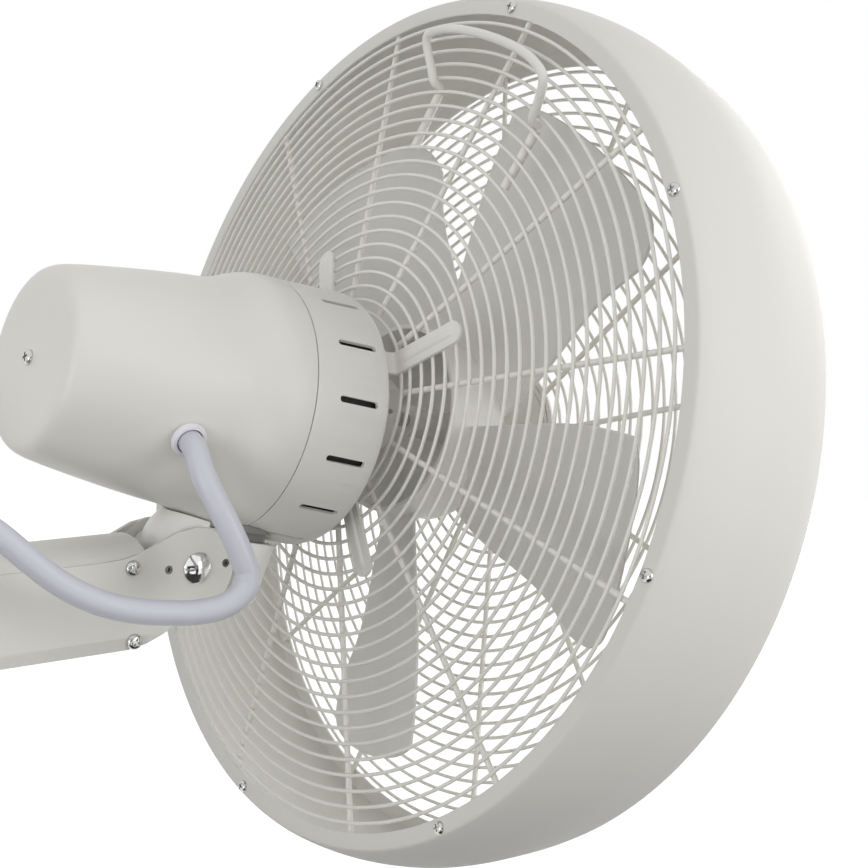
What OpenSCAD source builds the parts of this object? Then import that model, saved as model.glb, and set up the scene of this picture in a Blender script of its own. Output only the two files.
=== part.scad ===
// Wall fan: bracket arm, tilting knuckle, swivelling head, drum shroud with two wire guards, five blades.
// Origin at the middle of the back of the wall plate. Wall plane is y = 0, +Z up, the fan faces -Y.
// All lengths in millimetres, all angles in degrees.

/* [Drawing] */
// Sub-part to draw, or all

/* [Head] */
// Outer radius of the rear flange of the shroud
flange_r = 238; // [180:1:300]
// Greatest outer radius of the barrel-shaped shroud
barrel_r = 247.4; // [200:0.2:320]
// Outer radius of the shroud at its front rim
front_rim_r = 240.1; // [180:0.1:300]
// Length of the shroud from the rear flange to the front rim
shroud_len = 91.9; // [60:0.1:140]
// Sheet thickness of the shroud
shroud_wall = 1.2; // [0.8:0.1:3]
// Downward tilt of the head as photographed
head_tilt = 12.8; // [0:0.1:28]

/* [Guards] */
// Rings in the rear guard
rear_rings = 22; // [8:1:30]
// Rings in the front guard
front_rings = 22; // [8:1:30]
// Ribs in each guard
guard_ribs = 12; // [6:1:16]
// Ring wire thickness
ring_wire = 2; // [1.6:0.1:4]
// Rib wire thickness
rib_wire = 3.2; // [2.4:0.1:6]

/* [Blades] */
// Number of blades
blade_count = 5; // [3:1:7]
// Blade tip radius
blade_tip_r = 190; // [120:1:230]
// Blade thickness
blade_wall = 2.2; // [1.4:0.1:4]
// Radius of the hub cup
hub_r = 54; // [40:0.5:70]

/* [Casing] */
// Radius of the slotted motor casing at its rear joint
casing_r = 68.3; // [55:0.1:80]
// Drop of the casing axis below the fan axis
casing_drop = 10; // [0:0.5:14]
// Cooling slots round the casing
casing_slots = 14; // [8:1:24]

/* [Bracket arm] */
// Distance from the wall to the tilt pivot
pivot_out = 205; // [120:1:320]
// Half width over the two arm cheeks
arm_half = 25.5; // [18:0.5:40]
// Thickness of each arm cheek
cheek_wall = 3; // [2:0.1:6]
// Radius of the round end of each cheek
cheek_end_r = 20.5; // [16:0.5:30]

/* [Wall plate] */
// Wall plate width
plate_w = 110; // [80:1:160]
// Wall plate height
plate_h = 150; // [110:1:220]
// Wall plate thickness
plate_t = 4; // [3:0.5:8]
// Fixing hole spacing across
hole_dx = 86; // [50:1:120]
// Fixing hole spacing up
hole_dz = 124; // [80:1:180]
// Fixing hole radius
hole_r = 4.25; // [3:0.05:6]

/* [Hidden] */
$fn = 64;
eps = 0.01;
weld = 0.2;
run_gap = 0.05;
face_gap = 0.3;

// head placing: local x is world X, local y is up square to the fan axis, local z is forward
axis_rise = 97.6;
pivot_back = 108.4;

// shroud
flange_in_r = flange_r - 8.5;
front_in_r = front_rim_r - 10.6;
flange_t = shroud_wall;

// rear guard, outermost ring first
rear_ring_out_r = flange_in_r - 4.9;
rear_ring_in_r = 54;
rear_ring_in_gap = 6.2;
rear_ring_step = (rear_ring_out_r - rear_ring_in_r - rear_ring_in_gap)/(rear_rings - 2);
rear_cone = 0.131;
rear_edge_z = -0.2;
rib_lead = ring_wire/2 + rib_wire/2 - weld;
rib_phase = 11;
rib_out_r = flange_in_r + 2.5;
rear_rib_in_r = rear_ring_in_r - 1.5;

// front guard
front_ring_out_r = front_in_r - 3.4;
front_ring_in_r = 52.4;
front_ring_in_gap = 6.7;
front_ring_step = (front_ring_out_r - front_ring_in_r - front_ring_in_gap)/(front_rings - 2);
front_rib_out_r = front_in_r + 2.5;
front_edge_z = 91.4;
front_cone = 0.031;
front_rib_in_r = 43.5;
badge_r = 45;
badge_z = 96.6;
badge_t = 3.6;

// flange screws
flange_screws_n = 8;
flange_screw_r = flange_r - 3.4;
flange_screw_phase = 30;
screw_head_r = 3.5;
screw_head_h = 2.2;
screw_shank_r = 1.6;
screw_len = 7;

// casing and cover, along the local z
seam_z = -84.4;
casing_front_z = -38.6;
casing_front_r = 70;
casing_wall = 2.2;
cover_wall = 2.4;
cover_back_z = -206.2;
cover_back_r = 43;
slot_w = 3.3;
slot_z0 = -70.6;
slot_z1 = -47.4;
slot_phase = 97.3;
seam_gap = 0.3;
cover_screw_r = 4;

// clips that hold the guard to the casing
clip_n = 4;
clip_phase = 27.4;
clip_w = 12.5;
clip_tip_r = 100;
clip_round = 5;
clip_rib_w = 3.5;

// motor inside the casing
shaft_r = 4;
stator_r = 53;
stator_bore = 34;
stator_z0 = -78;
stator_z1 = -50;
core_gap = 0.5;
bearing_r = 11;
bearing_w = 7;
front_shield_z = -39.2;
rear_shield_z = -92;
rear_shield_r = 55.5;
nose_r = 21;
nose_z = 6;

// rotor
hub_back_z = 14;
hub_front_z = 56;
hub_wall = 2.6;
nut_r = 7;

// neck
neck_z = -84;
neck_top_y = -81;
neck_bottom_y = -115.5;
neck_top_r = 29.3;
neck_bottom_r = 23.5;
ball_r = 26.6;
ball_up = 7.1;
ball_fwd = 8.6;
ball_half = 20.9;
notch_r = 22.8;
boss_r = 16;
disc_r = 28;
disc_low_r = 24;
disc_step_y = -76.2;
shaft_tube_r = 9;
neck_bore_r = shaft_tube_r + run_gap;

// pivot and arm hardware
washer_r = 21;
pivot_r = 6;
cap_r = 8.2;
cap_h = 3.4;
pan_r = 4;
pan_h = 2;
grub_off = 16.3;
grub_r = 2.1;
arm_bottom_z = -36.8;
arm_top_z = 8;
arm_bevel_z = -30;
hood_crown_z = 17.5;
hood_wall = 2.5;
hood_end_y = -178;
arm_screw_y = -168.9;
arm_screw_z = [3.9, -32.6];

// supply lead
lead_r = 6;
lead_sides = 12;
// route of the lead from the head to the low point by the knuckle
route_upper = [
  [-47, -186, 70.5], [-50.8, -185.8, 68.8], [-54.5, -185.5, 67], [-58.5, -185, 65], [-62.5, -184.5, 61.5],
  [-65.5, -184.5, 56], [-69, -186, 48], [-72, -189, 39.5], [-74.5, -192.5, 31], [-76, -196, 22.5],
  [-77, -199.5, 14], [-77, -201.4, 9], [-77, -202.4, 6.8], [-77, -202.5, 5.6]];
// route of the lead from the low point to the gland on the wall plate
route_lower = [
  [-77, -202.6, 2.2], [-77, -202.6, 1], [-77, -202, -1.2], [-76.7, -200.6, -3.4], [-76.3, -198.3, -5.6],
  [-75.8, -195.4, -7.6], [-75.2, -191.6, -9.3], [-74.3, -186, -10.8],
  [-72, -175, -11.5], [-70.5, -165, -10.5], [-69, -154, -9], [-67, -143, -6.5], [-65, -132, -2.5],
  [-62, -121, 3.5], [-59, -111, 11], [-55.5, -101, 20.5], [-52, -91, 30.5], [-48.5, -79.5, 39.5],
  [-45, -66, 45], [-41.5, -52, 47.5], [-37.5, -38.5, 47.5], [-34, -27, 46.5], [-32.2, -17, 45.3],
  [-32, -9, 45], [-32, -1, 45]];
gland_x = -32;
gland_z = 45;
grommet_z = -142.3;
grommet_angle = 64;

function rear_ring_r(i) = (i == rear_rings - 1) ? rear_ring_in_r : rear_ring_out_r - rear_ring_step*i;
function rear_z(r) = rear_edge_z - rear_cone*(rear_ring_out_r - r);
function front_ring_r(i) = (i == front_rings - 1) ? front_ring_in_r : front_ring_out_r - front_ring_step*i;
function front_z(r) = front_edge_z + front_cone*(front_ring_out_r - r);

// angles round the fan axis run from straight down towards the -X side
module at_angle(a) { rotate([0, 0, -90 - a]) children(); }

// places the head and everything that tilts with it
module head_frame() {
  translate([0, -pivot_out, 0])
    rotate([90 + head_tilt, 0, 0])
      translate([0, axis_rise, pivot_back])
        children();
}

module ring(r, z, wire) {
  translate([0, 0, z])
    rotate_extrude($fn = 96)
      translate([r, 0])
        circle(d = wire, $fn = 24);
}

// straight rod between two points with round ends
module rod(p, q, r) {
  d = q - p;
  len = norm(d);
  translate(p)
    rotate([0, acos(d[2]/len), atan2(d[1], d[0])])
      cylinder(r = r, h = len, $fn = 24);
}

// rib lying along a cone from radius r0 to r1 at heights z0 and z1
module rib(r0, z0, r1, z1, wire) {
  rod([r0, 0, z0], [r1, 0, z1], wire/2);
}

// Wall plate
module wall_plate() color("#cdccc6") {
  difference() {
    translate([0, 0, 0])
      rotate([90, 0, 0])
        linear_extrude(plate_t)
          offset(r = 10, $fn = 48)
            square([plate_w - 20, plate_h - 20], center = true);
    for (sx = [-1, 1])
      for (sz = [-1, 1])
        translate([sx*hole_dx/2, eps, sz*hole_dz/2])
          rotate([90, 0, 0])
            cylinder(r = hole_r, h = plate_t + 2*eps);
    translate([gland_x, eps, gland_z])
      rotate([90, 0, 0])
        cylinder(r = 7.5, h = plate_t + 2*eps);
  }
}

// Inner channel of the arm, welded to the wall plate
module arm_channel() color("#cdccc6") {
  inner = arm_half - cheek_wall;
  end_y = -150;
  difference() {
    translate([-inner, end_y, arm_bottom_z])
      cube([2*inner, -end_y - plate_t, arm_top_z - arm_bottom_z]);
    translate([-inner + 2.5, end_y - eps, arm_bottom_z + 2.5])
      cube([2*inner - 5, -end_y - plate_t - 3, arm_top_z - arm_bottom_z]);
    for (z = arm_screw_z)
      translate([0, arm_screw_y, z])
        rotate([0, 90, 0])
          cylinder(r = 2, h = 4*arm_half, center = true);
  }
}

// Side outline of a cheek in the plane of y and z
module cheek_outline() {
  difference() {
    union() {
      polygon([
        [-plate_t, arm_bottom_z], [-plate_t, arm_top_z], [-150, arm_top_z], [-164, 8.6],
        [-172, 10], [-179, 12.4], [-187, 16], [-194, 19], [-205, cheek_end_r],
        [-205, 0], [-222, -12.4], [-214, -18.4], [-203, -22.6], [-192, -27.2],
        [-184, -31.6], [-176, -35], [-166, arm_bottom_z]]);
      translate([-pivot_out, 0])
        circle(r = cheek_end_r);
    }
    translate([-pivot_out, 0])
      circle(r = pivot_r + run_gap);
    for (s = [-1, 1])
      translate([-pivot_out + s*grub_off, 0.8])
        circle(r = grub_r + run_gap);
    for (z = arm_screw_z)
      translate([arm_screw_y, z])
        circle(r = 2);
  }
}

module cheek() {
  difference() {
    rotate([90, 0, 90])
      translate([0, 0, arm_half - cheek_wall])
        linear_extrude(cheek_wall)
          cheek_outline();
    translate([arm_half, 0, arm_bevel_z])
      rotate([0, 14, 0])
        translate([0, -pivot_out - 40, -12])
          cube([6, pivot_out + 50, 12]);
  }
}

module arm_cheek_left() color("#cdccc6") cheek();
module arm_cheek_right() color("#cdccc6") mirror([1, 0, 0]) cheek();

// Crowned top of the arm
module arm_hood() color("#cdccc6") {
  rise = hood_crown_z - arm_top_z;
  crown_r = (arm_half*arm_half + rise*rise)/(2*rise);
  difference() {
    intersection() {
      translate([0, -plate_t, hood_crown_z - crown_r])
        rotate([90, 0, 0])
          difference() {
            cylinder(r = crown_r, h = -hood_end_y - plate_t, $fn = 128);
            translate([0, 0, -eps])
              cylinder(r = crown_r - hood_wall, h = -hood_end_y, $fn = 128);
          }
      translate([-arm_half, hood_end_y - 1, arm_top_z + 0.1])
        cube([2*arm_half, -hood_end_y + 2, 3*rise]);
    }
    for (s = [-1, 1])
      translate([s > 0 ? arm_half - cheek_wall - 0.1 : -arm_half - 1, 0, 0])
        rotate([90, 0, 90])
          linear_extrude(cheek_wall + 1.1)
            polygon([
              [-150, 0], [-150, 8.1], [-164, 8.7], [-172, 10.1], [-179, 12.6], [-187, 16.2], [-187, 0]]);
  }
}

module pan_screw(len) {
  cylinder(r = 1.95, h = len, $fn = 32);
  translate([0, 0, len])
    difference() {
      intersection() {
        cylinder(r = pan_r, h = pan_h, $fn = 48);
        translate([0, 0, pan_h - 6])
          sphere(r = 6, $fn = 48);
      }
      for (a = [0, 90])
        rotate([0, 0, a])
          translate([-2.2, -0.45, pan_h - 1])
            cube([4.4, 0.9, 2]);
    }
}

// Pan-head screws through the cheeks
module arm_screws() color("#c9c9c9") {
  for (s = [-1, 1])
    for (z = arm_screw_z)
      translate([s*(arm_half - 8), arm_screw_y, z])
        rotate([0, s*90, 0])
          pan_screw(8);
}

// Small screws either side of the pivot that clamp the washers
module clamp_screws() color("#8f8f8c") {
  for (s = [-1, 1])
    for (k = [-1, 1])
      translate([s*(arm_half - cheek_wall), -pivot_out + k*grub_off, 0.8])
        rotate([0, s*90, 0])
          difference() {
            cylinder(r = grub_r, h = cheek_wall - 0.8, $fn = 32);
            translate([0, 0, cheek_wall - 1.8])
              cylinder(r = 1.2, h = 2, $fn = 6);
          }
}

// Friction washers between the cheeks and the knuckle
module friction_washers() color("#e4e3de") {
  for (s = [-1, 1])
    translate([s*(arm_half - cheek_wall), -pivot_out, 0])
      rotate([0, -s*90, 0])
        difference() {
          cylinder(r = washer_r, h = arm_half - cheek_wall - ball_half - face_gap);
          translate([0, 0, -eps])
            cylinder(r = pivot_r + run_gap, h = 10);
        }
}

// Bolt that the knuckle tilts on
module pivot_bolt() color("#b5b5b3") {
  translate([-arm_half - 0.4, -pivot_out, 0])
    rotate([0, 90, 0])
      cylinder(r = pivot_r, h = 2*arm_half + 0.8);
}

// Domed chrome caps over the bolt ends
module pivot_caps() color("#d8d8d8") {
  dome = (cap_r*cap_r + cap_h*cap_h)/(2*cap_h);
  for (s = [-1, 1])
    translate([s*(arm_half + 0.4), -pivot_out, 0])
      rotate([0, s*90, 0])
        intersection() {
          translate([0, 0, cap_h - dome])
            sphere(r = dome, $fn = 96);
          cylinder(r = cap_r, h = cap_h + 1);
        }
}

// Gland that takes the lead into the wall plate
module lead_gland() color("#e9e8e4") {
  translate([gland_x, 0, gland_z])
    rotate([90, 0, 0])
      difference() {
        union() {
          cylinder(r = 7.4, h = plate_t + 1);
          translate([0, 0, plate_t])
            cylinder(r1 = 10, r2 = 8.4, h = 9);
        }
        translate([0, 0, -eps])
          cylinder(r = lead_r + 0.5, h = 30);
      }
}

// Cast knuckle: ball between the cheeks and the round tapered neck under the casing
module knuckle() color("#c9c8c2") head_frame() {
  difference() {
    union() {
      intersection() {
        translate([0, -axis_rise + ball_up, -pivot_back + ball_fwd])
          sphere(r = ball_r, $fn = 96);
        translate([-ball_half, neck_bottom_y - 20, -pivot_back - 40])
          cube([2*ball_half, 100, 80]);
        ball_top();
      }
      translate([0, neck_top_y, neck_z])
        rotate([90, 0, 0])
          rotate_extrude($fn = 96)
            polygon([
              [0, 0], [neck_top_r - 0.8, 0], [neck_top_r, 0.8],
              [neck_bottom_r + 0.6, neck_top_y - neck_bottom_y - 4],
              [neck_bottom_r - 0.8, neck_top_y - neck_bottom_y - 1.6],
              [neck_bottom_r - 4, neck_top_y - neck_bottom_y], [0, neck_top_y - neck_bottom_y]]);
      // cheek-width boss that carries the pivot bore
      translate([-ball_half, -axis_rise, -pivot_back])
        rotate([0, 90, 0])
          cylinder(r = boss_r, h = 2*ball_half);
    }
    for (s = [-1, 1])
      translate([s*ball_half, -axis_rise, -pivot_back])
        rotate([0, s*90, 0])
          cylinder(r = notch_r, h = 20);
    translate([-2*arm_half, -axis_rise, -pivot_back])
      rotate([0, 90, 0])
        cylinder(r = pivot_r + run_gap, h = 4*arm_half);
    translate([0, neck_top_y + eps, neck_z])
      rotate([90, 0, 0])
        cylinder(r = shaft_tube_r - 0.02, h = 20);
  }
}

// space under the disc, the casing and the cover that the ball may fill, round the swivel axis
module ball_top() {
  translate([0, 0, neck_z])
    rotate([90, 0, 0])
      rotate_extrude($fn = 96)
        polygon([
          [0, -neck_top_y], [disc_low_r + 0.3, -neck_top_y], [disc_low_r + 0.3, 0.4 - disc_step_y],
          [disc_r + 0.4, 0.4 - disc_step_y], [disc_r + 0.4, 73.9], [35, 71.4], [40, 70.6], [60, 70.6],
          [60, 140], [0, 140]]);
}

// Hollow shaft that the head swivels on
module swivel_shaft() color("#a9a9a7") head_frame() {
  translate([0, -66, neck_z])
    rotate([90, 0, 0])
      difference() {
        cylinder(r = shaft_tube_r, h = neck_top_y*-1 + 20 - 66);
        translate([0, 0, -eps])
          cylinder(r = 5, h = 60);
      }
}

// Nut and washer that keep the head on the swivel shaft
module swivel_nut() color("#a9a9a7") head_frame() {
  translate([0, -67, neck_z])
    rotate([90, 0, 0])
      difference() {
        union() {
          cylinder(r = 11, h = 4.6, $fn = 6);
          translate([0, 0, 4.4])
            cylinder(r = 13, h = 1.8);
        }
        translate([0, 0, -eps])
          cylinder(r = shaft_tube_r - 0.02, h = 10);
      }
}

// Dark flat boss under the casing that turns on the knuckle
module swivel_disc() color("#8d8c88") head_frame() {
  difference() {
    translate([0, -66, neck_z])
      rotate([90, 0, 0]) {
        cylinder(r = disc_r, h = -disc_step_y - 66);
        cylinder(r = disc_low_r, h = -neck_top_y - 66 - face_gap);
      }
    translate([0, -60, neck_z])
      rotate([90, 0, 0])
        cylinder(r = neck_bore_r, h = 40);
    translate([0, -casing_drop, 0])
      rotate_extrude($fn = 128)
        polygon([
          [0, -135], [58.6, -135], [59.2, -129], [60, -122.5], [61.4, -116.5], [63.6, -111], [65.8, -106],
          [67.4, -101], [68.3, -96], [casing_r + 0.3, -90], [casing_r + 0.3, seam_z],
          [casing_front_r + 0.3, -45], [0, -45]]);
  }
}

// Slotted ring of the motor casing with its rounded front edge
module motor_casing() color("#cfcec8") head_frame() {
  difference() {
    translate([0, -casing_drop, 0])
      rotate_extrude($fn = 128)
        polygon([
          [casing_r - casing_wall, seam_z + seam_gap], [casing_r, seam_z + seam_gap],
          [casing_front_r, casing_front_z - 5], [casing_front_r - 0.8, casing_front_z - 2.2],
          [casing_front_r - 2.6, casing_front_z - 0.6], [casing_front_r - 6, casing_front_z],
          [56, casing_front_z], [56, casing_front_z - 2],
          [casing_front_r - 6.2, casing_front_z - 2.2], [casing_front_r - casing_wall, casing_front_z - 6]]);
    for (i = [0:casing_slots - 1])
      translate([0, -casing_drop, 0])
        at_angle(slot_phase + i*360/casing_slots)
          rotate([0, 90, 0]) {
            translate([-slot_z0 - slot_w/2, 0, casing_r - 10])
              cylinder(d = slot_w, h = 20, $fn = 24);
            translate([-slot_z1 + slot_w/2, 0, casing_r - 10])
              cylinder(d = slot_w, h = 20, $fn = 24);
            translate([-slot_z1 + slot_w/2, -slot_w/2, casing_r - 10])
              cube([slot_z1 - slot_z0 - slot_w, slot_w, 20]);
          }
    translate([0, -60, neck_z])
      rotate([90, 0, 0])
        cylinder(r = neck_bore_r, h = 40);
  }
}

// Tapered rear cover with the flare just behind the joint
module rear_cover() color("#cfcec8") head_frame() {
  difference() {
    translate([0, -casing_drop, 0])
      rotate_extrude($fn = 128)
        polygon([
          [0, cover_back_z], [cover_back_r - 4, cover_back_z], [cover_back_r, cover_back_z + 0.5],
          [45.8, cover_back_z + 1.8], [47.3, cover_back_z + 4], [48.4, -199], [50, -188],
          [52, -176.5], [54, -164.5], [56, -151], [57.8, -138], [58.8, -129], [59.6, -122.5],
          [61, -116.5], [63.2, -111], [65.4, -106], [67, -101], [67.9, -96], [casing_r, -90],
          [casing_r, seam_z], [casing_r - cover_wall, seam_z], [casing_r - cover_wall, -91],
          [65, -99], [62.5, -106], [59.5, -113], [57.4, -121], [56.4, -128], [54, -148],
          [50, -174], [45.6, -199], [44, cover_back_z + cover_wall + 0.4], [0, cover_back_z + cover_wall]]);
    translate([0, -60, neck_z])
      rotate([90, 0, 0])
        cylinder(r = neck_bore_r, h = 40);
    translate([0, -casing_drop, cover_back_z - eps])
      cylinder(r = 1.8, h = 6);
    translate([0, -casing_drop, grommet_z])
      rotate([0, 90, -90 - grommet_angle])
        cylinder(r = 7.6, h = 90);
  }
}

// Cross-slotted screw in the back of the cover
module cover_screw() color("#c9c9c9") head_frame() {
  translate([0, -casing_drop, cover_back_z])
    rotate([180, 0, 0]) {
      translate([0, 0, -14])
        cylinder(r = 1.75, h = 14, $fn = 32);
      difference() {
        intersection() {
          cylinder(r = cover_screw_r, h = 2, $fn = 48);
          translate([0, 0, -4])
            sphere(r = 6, $fn = 48);
        }
        for (a = [0, 90])
          rotate([0, 0, a + 20])
            translate([-2.2, -0.45, 1])
              cube([4.4, 0.9, 2]);
      }
    }
}

// Collar where the lead leaves the cover
module cable_grommet() color("#e6e6ea") head_frame() {
  translate([0, -casing_drop, grommet_z])
    rotate([0, 90, -90 - grommet_angle])
      difference() {
        union() {
          cylinder(r = 7.5, h = 58.5);
          translate([0, 0, 58.3])
            cylinder(r1 = 9.2, r2 = 8.4, h = 2.4);
        }
        translate([0, 0, 30])
          cylinder(r = lead_r + 0.5, h = 60);
        translate([0, 0, -eps])
          cylinder(r = 20, h = 52);
      }
}

// Laminated stator
module stator() color("#7e7d7a") head_frame() {
  translate([0, 0, stator_z0])
    difference() {
      cylinder(r = stator_r, h = stator_z1 - stator_z0, $fn = 96);
      translate([0, 0, -eps])
        cylinder(r = stator_bore, h = 60, $fn = 96);
    }
}

// Copper windings on both ends of the stator
module windings() color("#b06a35") head_frame() {
  for (z = [stator_z0 - 6.5, stator_z1 + 0.5])
    translate([0, 0, z])
      rotate_extrude($fn = 96)
        translate([39, 0])
          square([9, 6]);
}

// Front bearing shield with its slotted nose towards the hub
module front_shield() color("#d4d3cf") head_frame() {
  difference() {
    rotate_extrude($fn = 96)
      polygon([
        [bearing_r, -43.2], [54, -43.2], [54, -41], [45.5, -41], [45.5, front_shield_z], [40, front_shield_z], [36, -34],
        [nose_r + 3, -26], [nose_r, -20], [nose_r, nose_z - 2], [nose_r - 2, nose_z],
        [shaft_r + 1, nose_z], [shaft_r + 1, nose_z - 3], [bearing_r, nose_z - 3]]);
    for (i = [0:7])
      at_angle(i*45 + 4)
        rotate([0, 90, 0])
          translate([-nose_z + 9, 0, bearing_r + 4])
            cylinder(d = 3, h = 20, $fn = 24);
  }
}

// Rear bearing shield
module rear_shield() color("#b9b8b4") head_frame() {
  rotate_extrude($fn = 96)
    polygon([
      [bearing_r, rear_shield_z], [rear_shield_r, rear_shield_z], [rear_shield_r, rear_shield_z + 3],
      [bearing_r + 4, rear_shield_z + 3], [bearing_r + 4, rear_shield_z + 6], [bearing_r, rear_shield_z + 6]]);
}

// Two bearings of the motor shaft
module bearings() color("#c2c2c0") head_frame() {
  for (z = [rear_shield_z, -4])
    translate([0, 0, z])
      difference() {
        cylinder(r = bearing_r - 0.02, h = bearing_w - 0.4);
        translate([0, 0, -eps])
          cylinder(r = shaft_r + run_gap, h = 10);
      }
}

// Run capacitor and terminal block in the rear of the cover
module capacitor() color("#e9e7e0") head_frame() {
  translate([-20, -24, rear_shield_z - 36.2])
    cube([40, 22, 36]);
  translate([-12, 2, rear_shield_z - 28.2])
    cube([24, 14, 28]);
}

// Pressed clips from the front shield out behind the inner rings
module guard_clips() color("#e2e1dc") head_frame() {
  for (i = [0:clip_n - 1])
    at_angle(clip_phase + i*360/clip_n)
      rotate([90, 0, 0])
        difference() {
          union() {
            translate([0, 0, -clip_w/2])
              linear_extrude(clip_w)
                polygon([
                  [42.5, -38.3], [53.6, -38.3], [53.6, -27.6], [55.6, -25.7], [clip_tip_r, -19.9],
                  [clip_tip_r, -17.9], [53.4, -24], [51.6, -26.2], [51.6, -36.3], [42.5, -36.3]]);
            translate([0, 0, -clip_rib_w/2])
              linear_extrude(clip_rib_w)
                polygon([
                  [57, -25.3], [58, -26.6], [clip_tip_r - 6, -21.8], [clip_tip_r - 5, -20.4]]);
          }
          for (s = [-1, 1])
            translate([clip_tip_r, -10, s*clip_w/2])
              rotate([90, 0, 0])
                difference() {
                  translate([-clip_round, -clip_round, 0])
                    cube([2*clip_round, 2*clip_round, 20]);
                  translate([-clip_round, -s*clip_round, -1])
                    cylinder(r = clip_round, h = 30, $fn = 32);
                }
        }
}

module rear_guard_rings() color("#d6d5cf") head_frame() {
  for (i = [0:rear_rings - 1])
    ring(rear_ring_r(i), rear_z(rear_ring_r(i)), ring_wire);
}

module rear_guard_ribs() color("#d6d5cf") head_frame() {
  for (i = [0:guard_ribs - 1])
    at_angle(rib_phase + i*360/guard_ribs)
      rib(rear_rib_in_r, rear_z(rear_rib_in_r) + rib_lead, rib_out_r, rear_z(rib_out_r) + rib_lead, rib_wire);
}

// Carrying handle of bent wire behind the guard, with its two feet under the rings
module handle() color("#d9d8d2") head_frame() at_angle(handle_angle) {
  swept_tube(concat(handle_side(-1), handle_side(1, true)), handle_r, 12, [0, 0, 1]);
  for (s = [-1, 1])
    rod([144.5, s*44.6, foot_z(144.5, 44.6)], [177.5, s*46.5, foot_z(177.5, 46.5)], handle_r);
}

handle_r = 2.5;
handle_angle = 161.5;
function foot_z(u, w) = rear_z(norm([u, w])) + ring_wire/2 + handle_r + run_gap;
// one side of the handle, from the crossing between two rings to the middle of the grip
handle_leg = [
  [180.2, 46.7, -1.9], [181.2, 47, -4.45], [182.2, 47.3, -7], [184.5, 48.3, -8.9], [188, 50, -10.2],
  [193.4, 52.6, -12.6], [197, 54.2, -14.4], [200.5, 55.3, -16.1], [203.2, 55.2, -17.3],
  [205.3, 53.9, -18], [206.8, 51.6, -18.3], [208.2, 48.4, -18.4], [209.5, 44.6, -18.4],
  [210.8, 40.5, -18.4], [212.4, 32, -18.4], [213.6, 22.4, -18.3], [214.3, 11, -18.3]];
handle_middle = [[214.5, 0, -18.3]];
function handle_side(s, back = false) =
  let (n = len(handle_leg) - 1)
  let (side = [for (i = [0:n]) let (p = handle_leg[back ? n - i : i]) [p[0], s*p[1], p[2]]])
  back ? side : concat(side, handle_middle);

// Barrel-shaped drum with its rear flange and stepped front flange
module shroud() color("#cfcec8") head_frame() {
  difference() {
    rotate_extrude($fn = 180)
      polygon([
        [flange_in_r, 0], [flange_r - 0.6, 0], [flange_r + 0.8, 0.8], [flange_r + 2.6, 4.5],
        [flange_r + 5, 12], [flange_r + 7.2, 21], [flange_r + 8.8, 32], [barrel_r, 42],
        [barrel_r - 0.2, 50], [barrel_r - 1, 58], [barrel_r - 2.2, 66], [barrel_r - 3.7, 75],
        [barrel_r - 5.2, 83], [front_rim_r, shroud_len - 0.8], [front_rim_r - 0.8, shroud_len],
        [front_in_r, shroud_len], [front_in_r, shroud_len - flange_t],
        [front_rim_r - 1.4, shroud_len - flange_t],
        [barrel_r - 6.4, 82.6], [barrel_r - 4.9, 74.8], [barrel_r - 3.4, 65.8],
        [barrel_r - 2.2, 57.8], [barrel_r - 1.4, 49.8], [barrel_r - 1.2, 42],
        [flange_r + 7.6, 32], [flange_r + 6, 21.2], [flange_r + 3.8, 12.4], [flange_r + 1.4, 5],
        [flange_r - 0.2, 1.8], [flange_r - 1, flange_t], [flange_in_r, flange_t]]);
    for (i = [0:flange_screws_n - 1])
      at_angle(flange_screw_phase + i*360/flange_screws_n)
        translate([flange_screw_r, 0, -1])
          cylinder(r = screw_shank_r + 0.1, h = 4, $fn = 24);
  }
}

// Screws round the rear flange
module flange_screws() color("#c9c9c9") head_frame() {
  for (i = [0:flange_screws_n - 1])
    at_angle(flange_screw_phase + i*360/flange_screws_n)
      translate([flange_screw_r, 0, 0]) {
        cylinder(r = screw_shank_r, h = screw_len - 2, $fn = 24);
        translate([0, 0, flange_t])
          rotate([0, 0, 30])
            cylinder(r = 2.7, h = 2.2, $fn = 6);
        rotate([180, 0, 0])
          difference() {
            cylinder(r1 = screw_head_r, r2 = screw_head_r - 0.9, h = screw_head_h, $fn = 32);
            for (a = [0, 90])
              rotate([0, 0, a])
                translate([-2, -0.4, screw_head_h - 0.9])
                  cube([4, 0.8, 2]);
          }
      }
}

module front_guard_rings() color("#d6d5cf") head_frame() {
  for (i = [0:front_rings - 1])
    ring(front_ring_r(i), front_z(front_ring_r(i)), ring_wire);
}

module front_guard_ribs() color("#d6d5cf") head_frame() {
  for (i = [0:guard_ribs - 1])
    at_angle(rib_phase + i*360/guard_ribs)
      rib(front_rib_in_r, front_z(front_rib_in_r) - rib_lead,
        front_rib_out_r, front_z(front_rib_out_r) - rib_lead, rib_wire);
}

// Plain round plate in the middle of the front guard
module centre_badge() color("#d3d2cd") head_frame() {
  translate([0, 0, badge_z])
    rotate_extrude($fn = 96)
      polygon([
        [0, 0], [badge_r - 2, 0], [badge_r, 0.8], [badge_r, 2], [badge_r - 1, badge_t - 0.8],
        [badge_r - 4, badge_t], [30, badge_t + 0.8], [0, badge_t + 1.4]]);
}

// Motor shaft
module motor_shaft() color("#b5b5b3") head_frame() {
  translate([0, 0, -90])
    cylinder(r = shaft_r, h = hub_front_z + 90 + 4);
}

// Rotor core inside the stator bore
module rotor_core() color("#8a8986") head_frame() {
  translate([0, 0, stator_z0 + 2])
    difference() {
      cylinder(r = stator_bore - core_gap, h = stator_z1 - stator_z0 - 4, $fn = 96);
      translate([0, 0, -eps])
        cylinder(r = shaft_r + run_gap, h = 60);
    }
}

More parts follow.
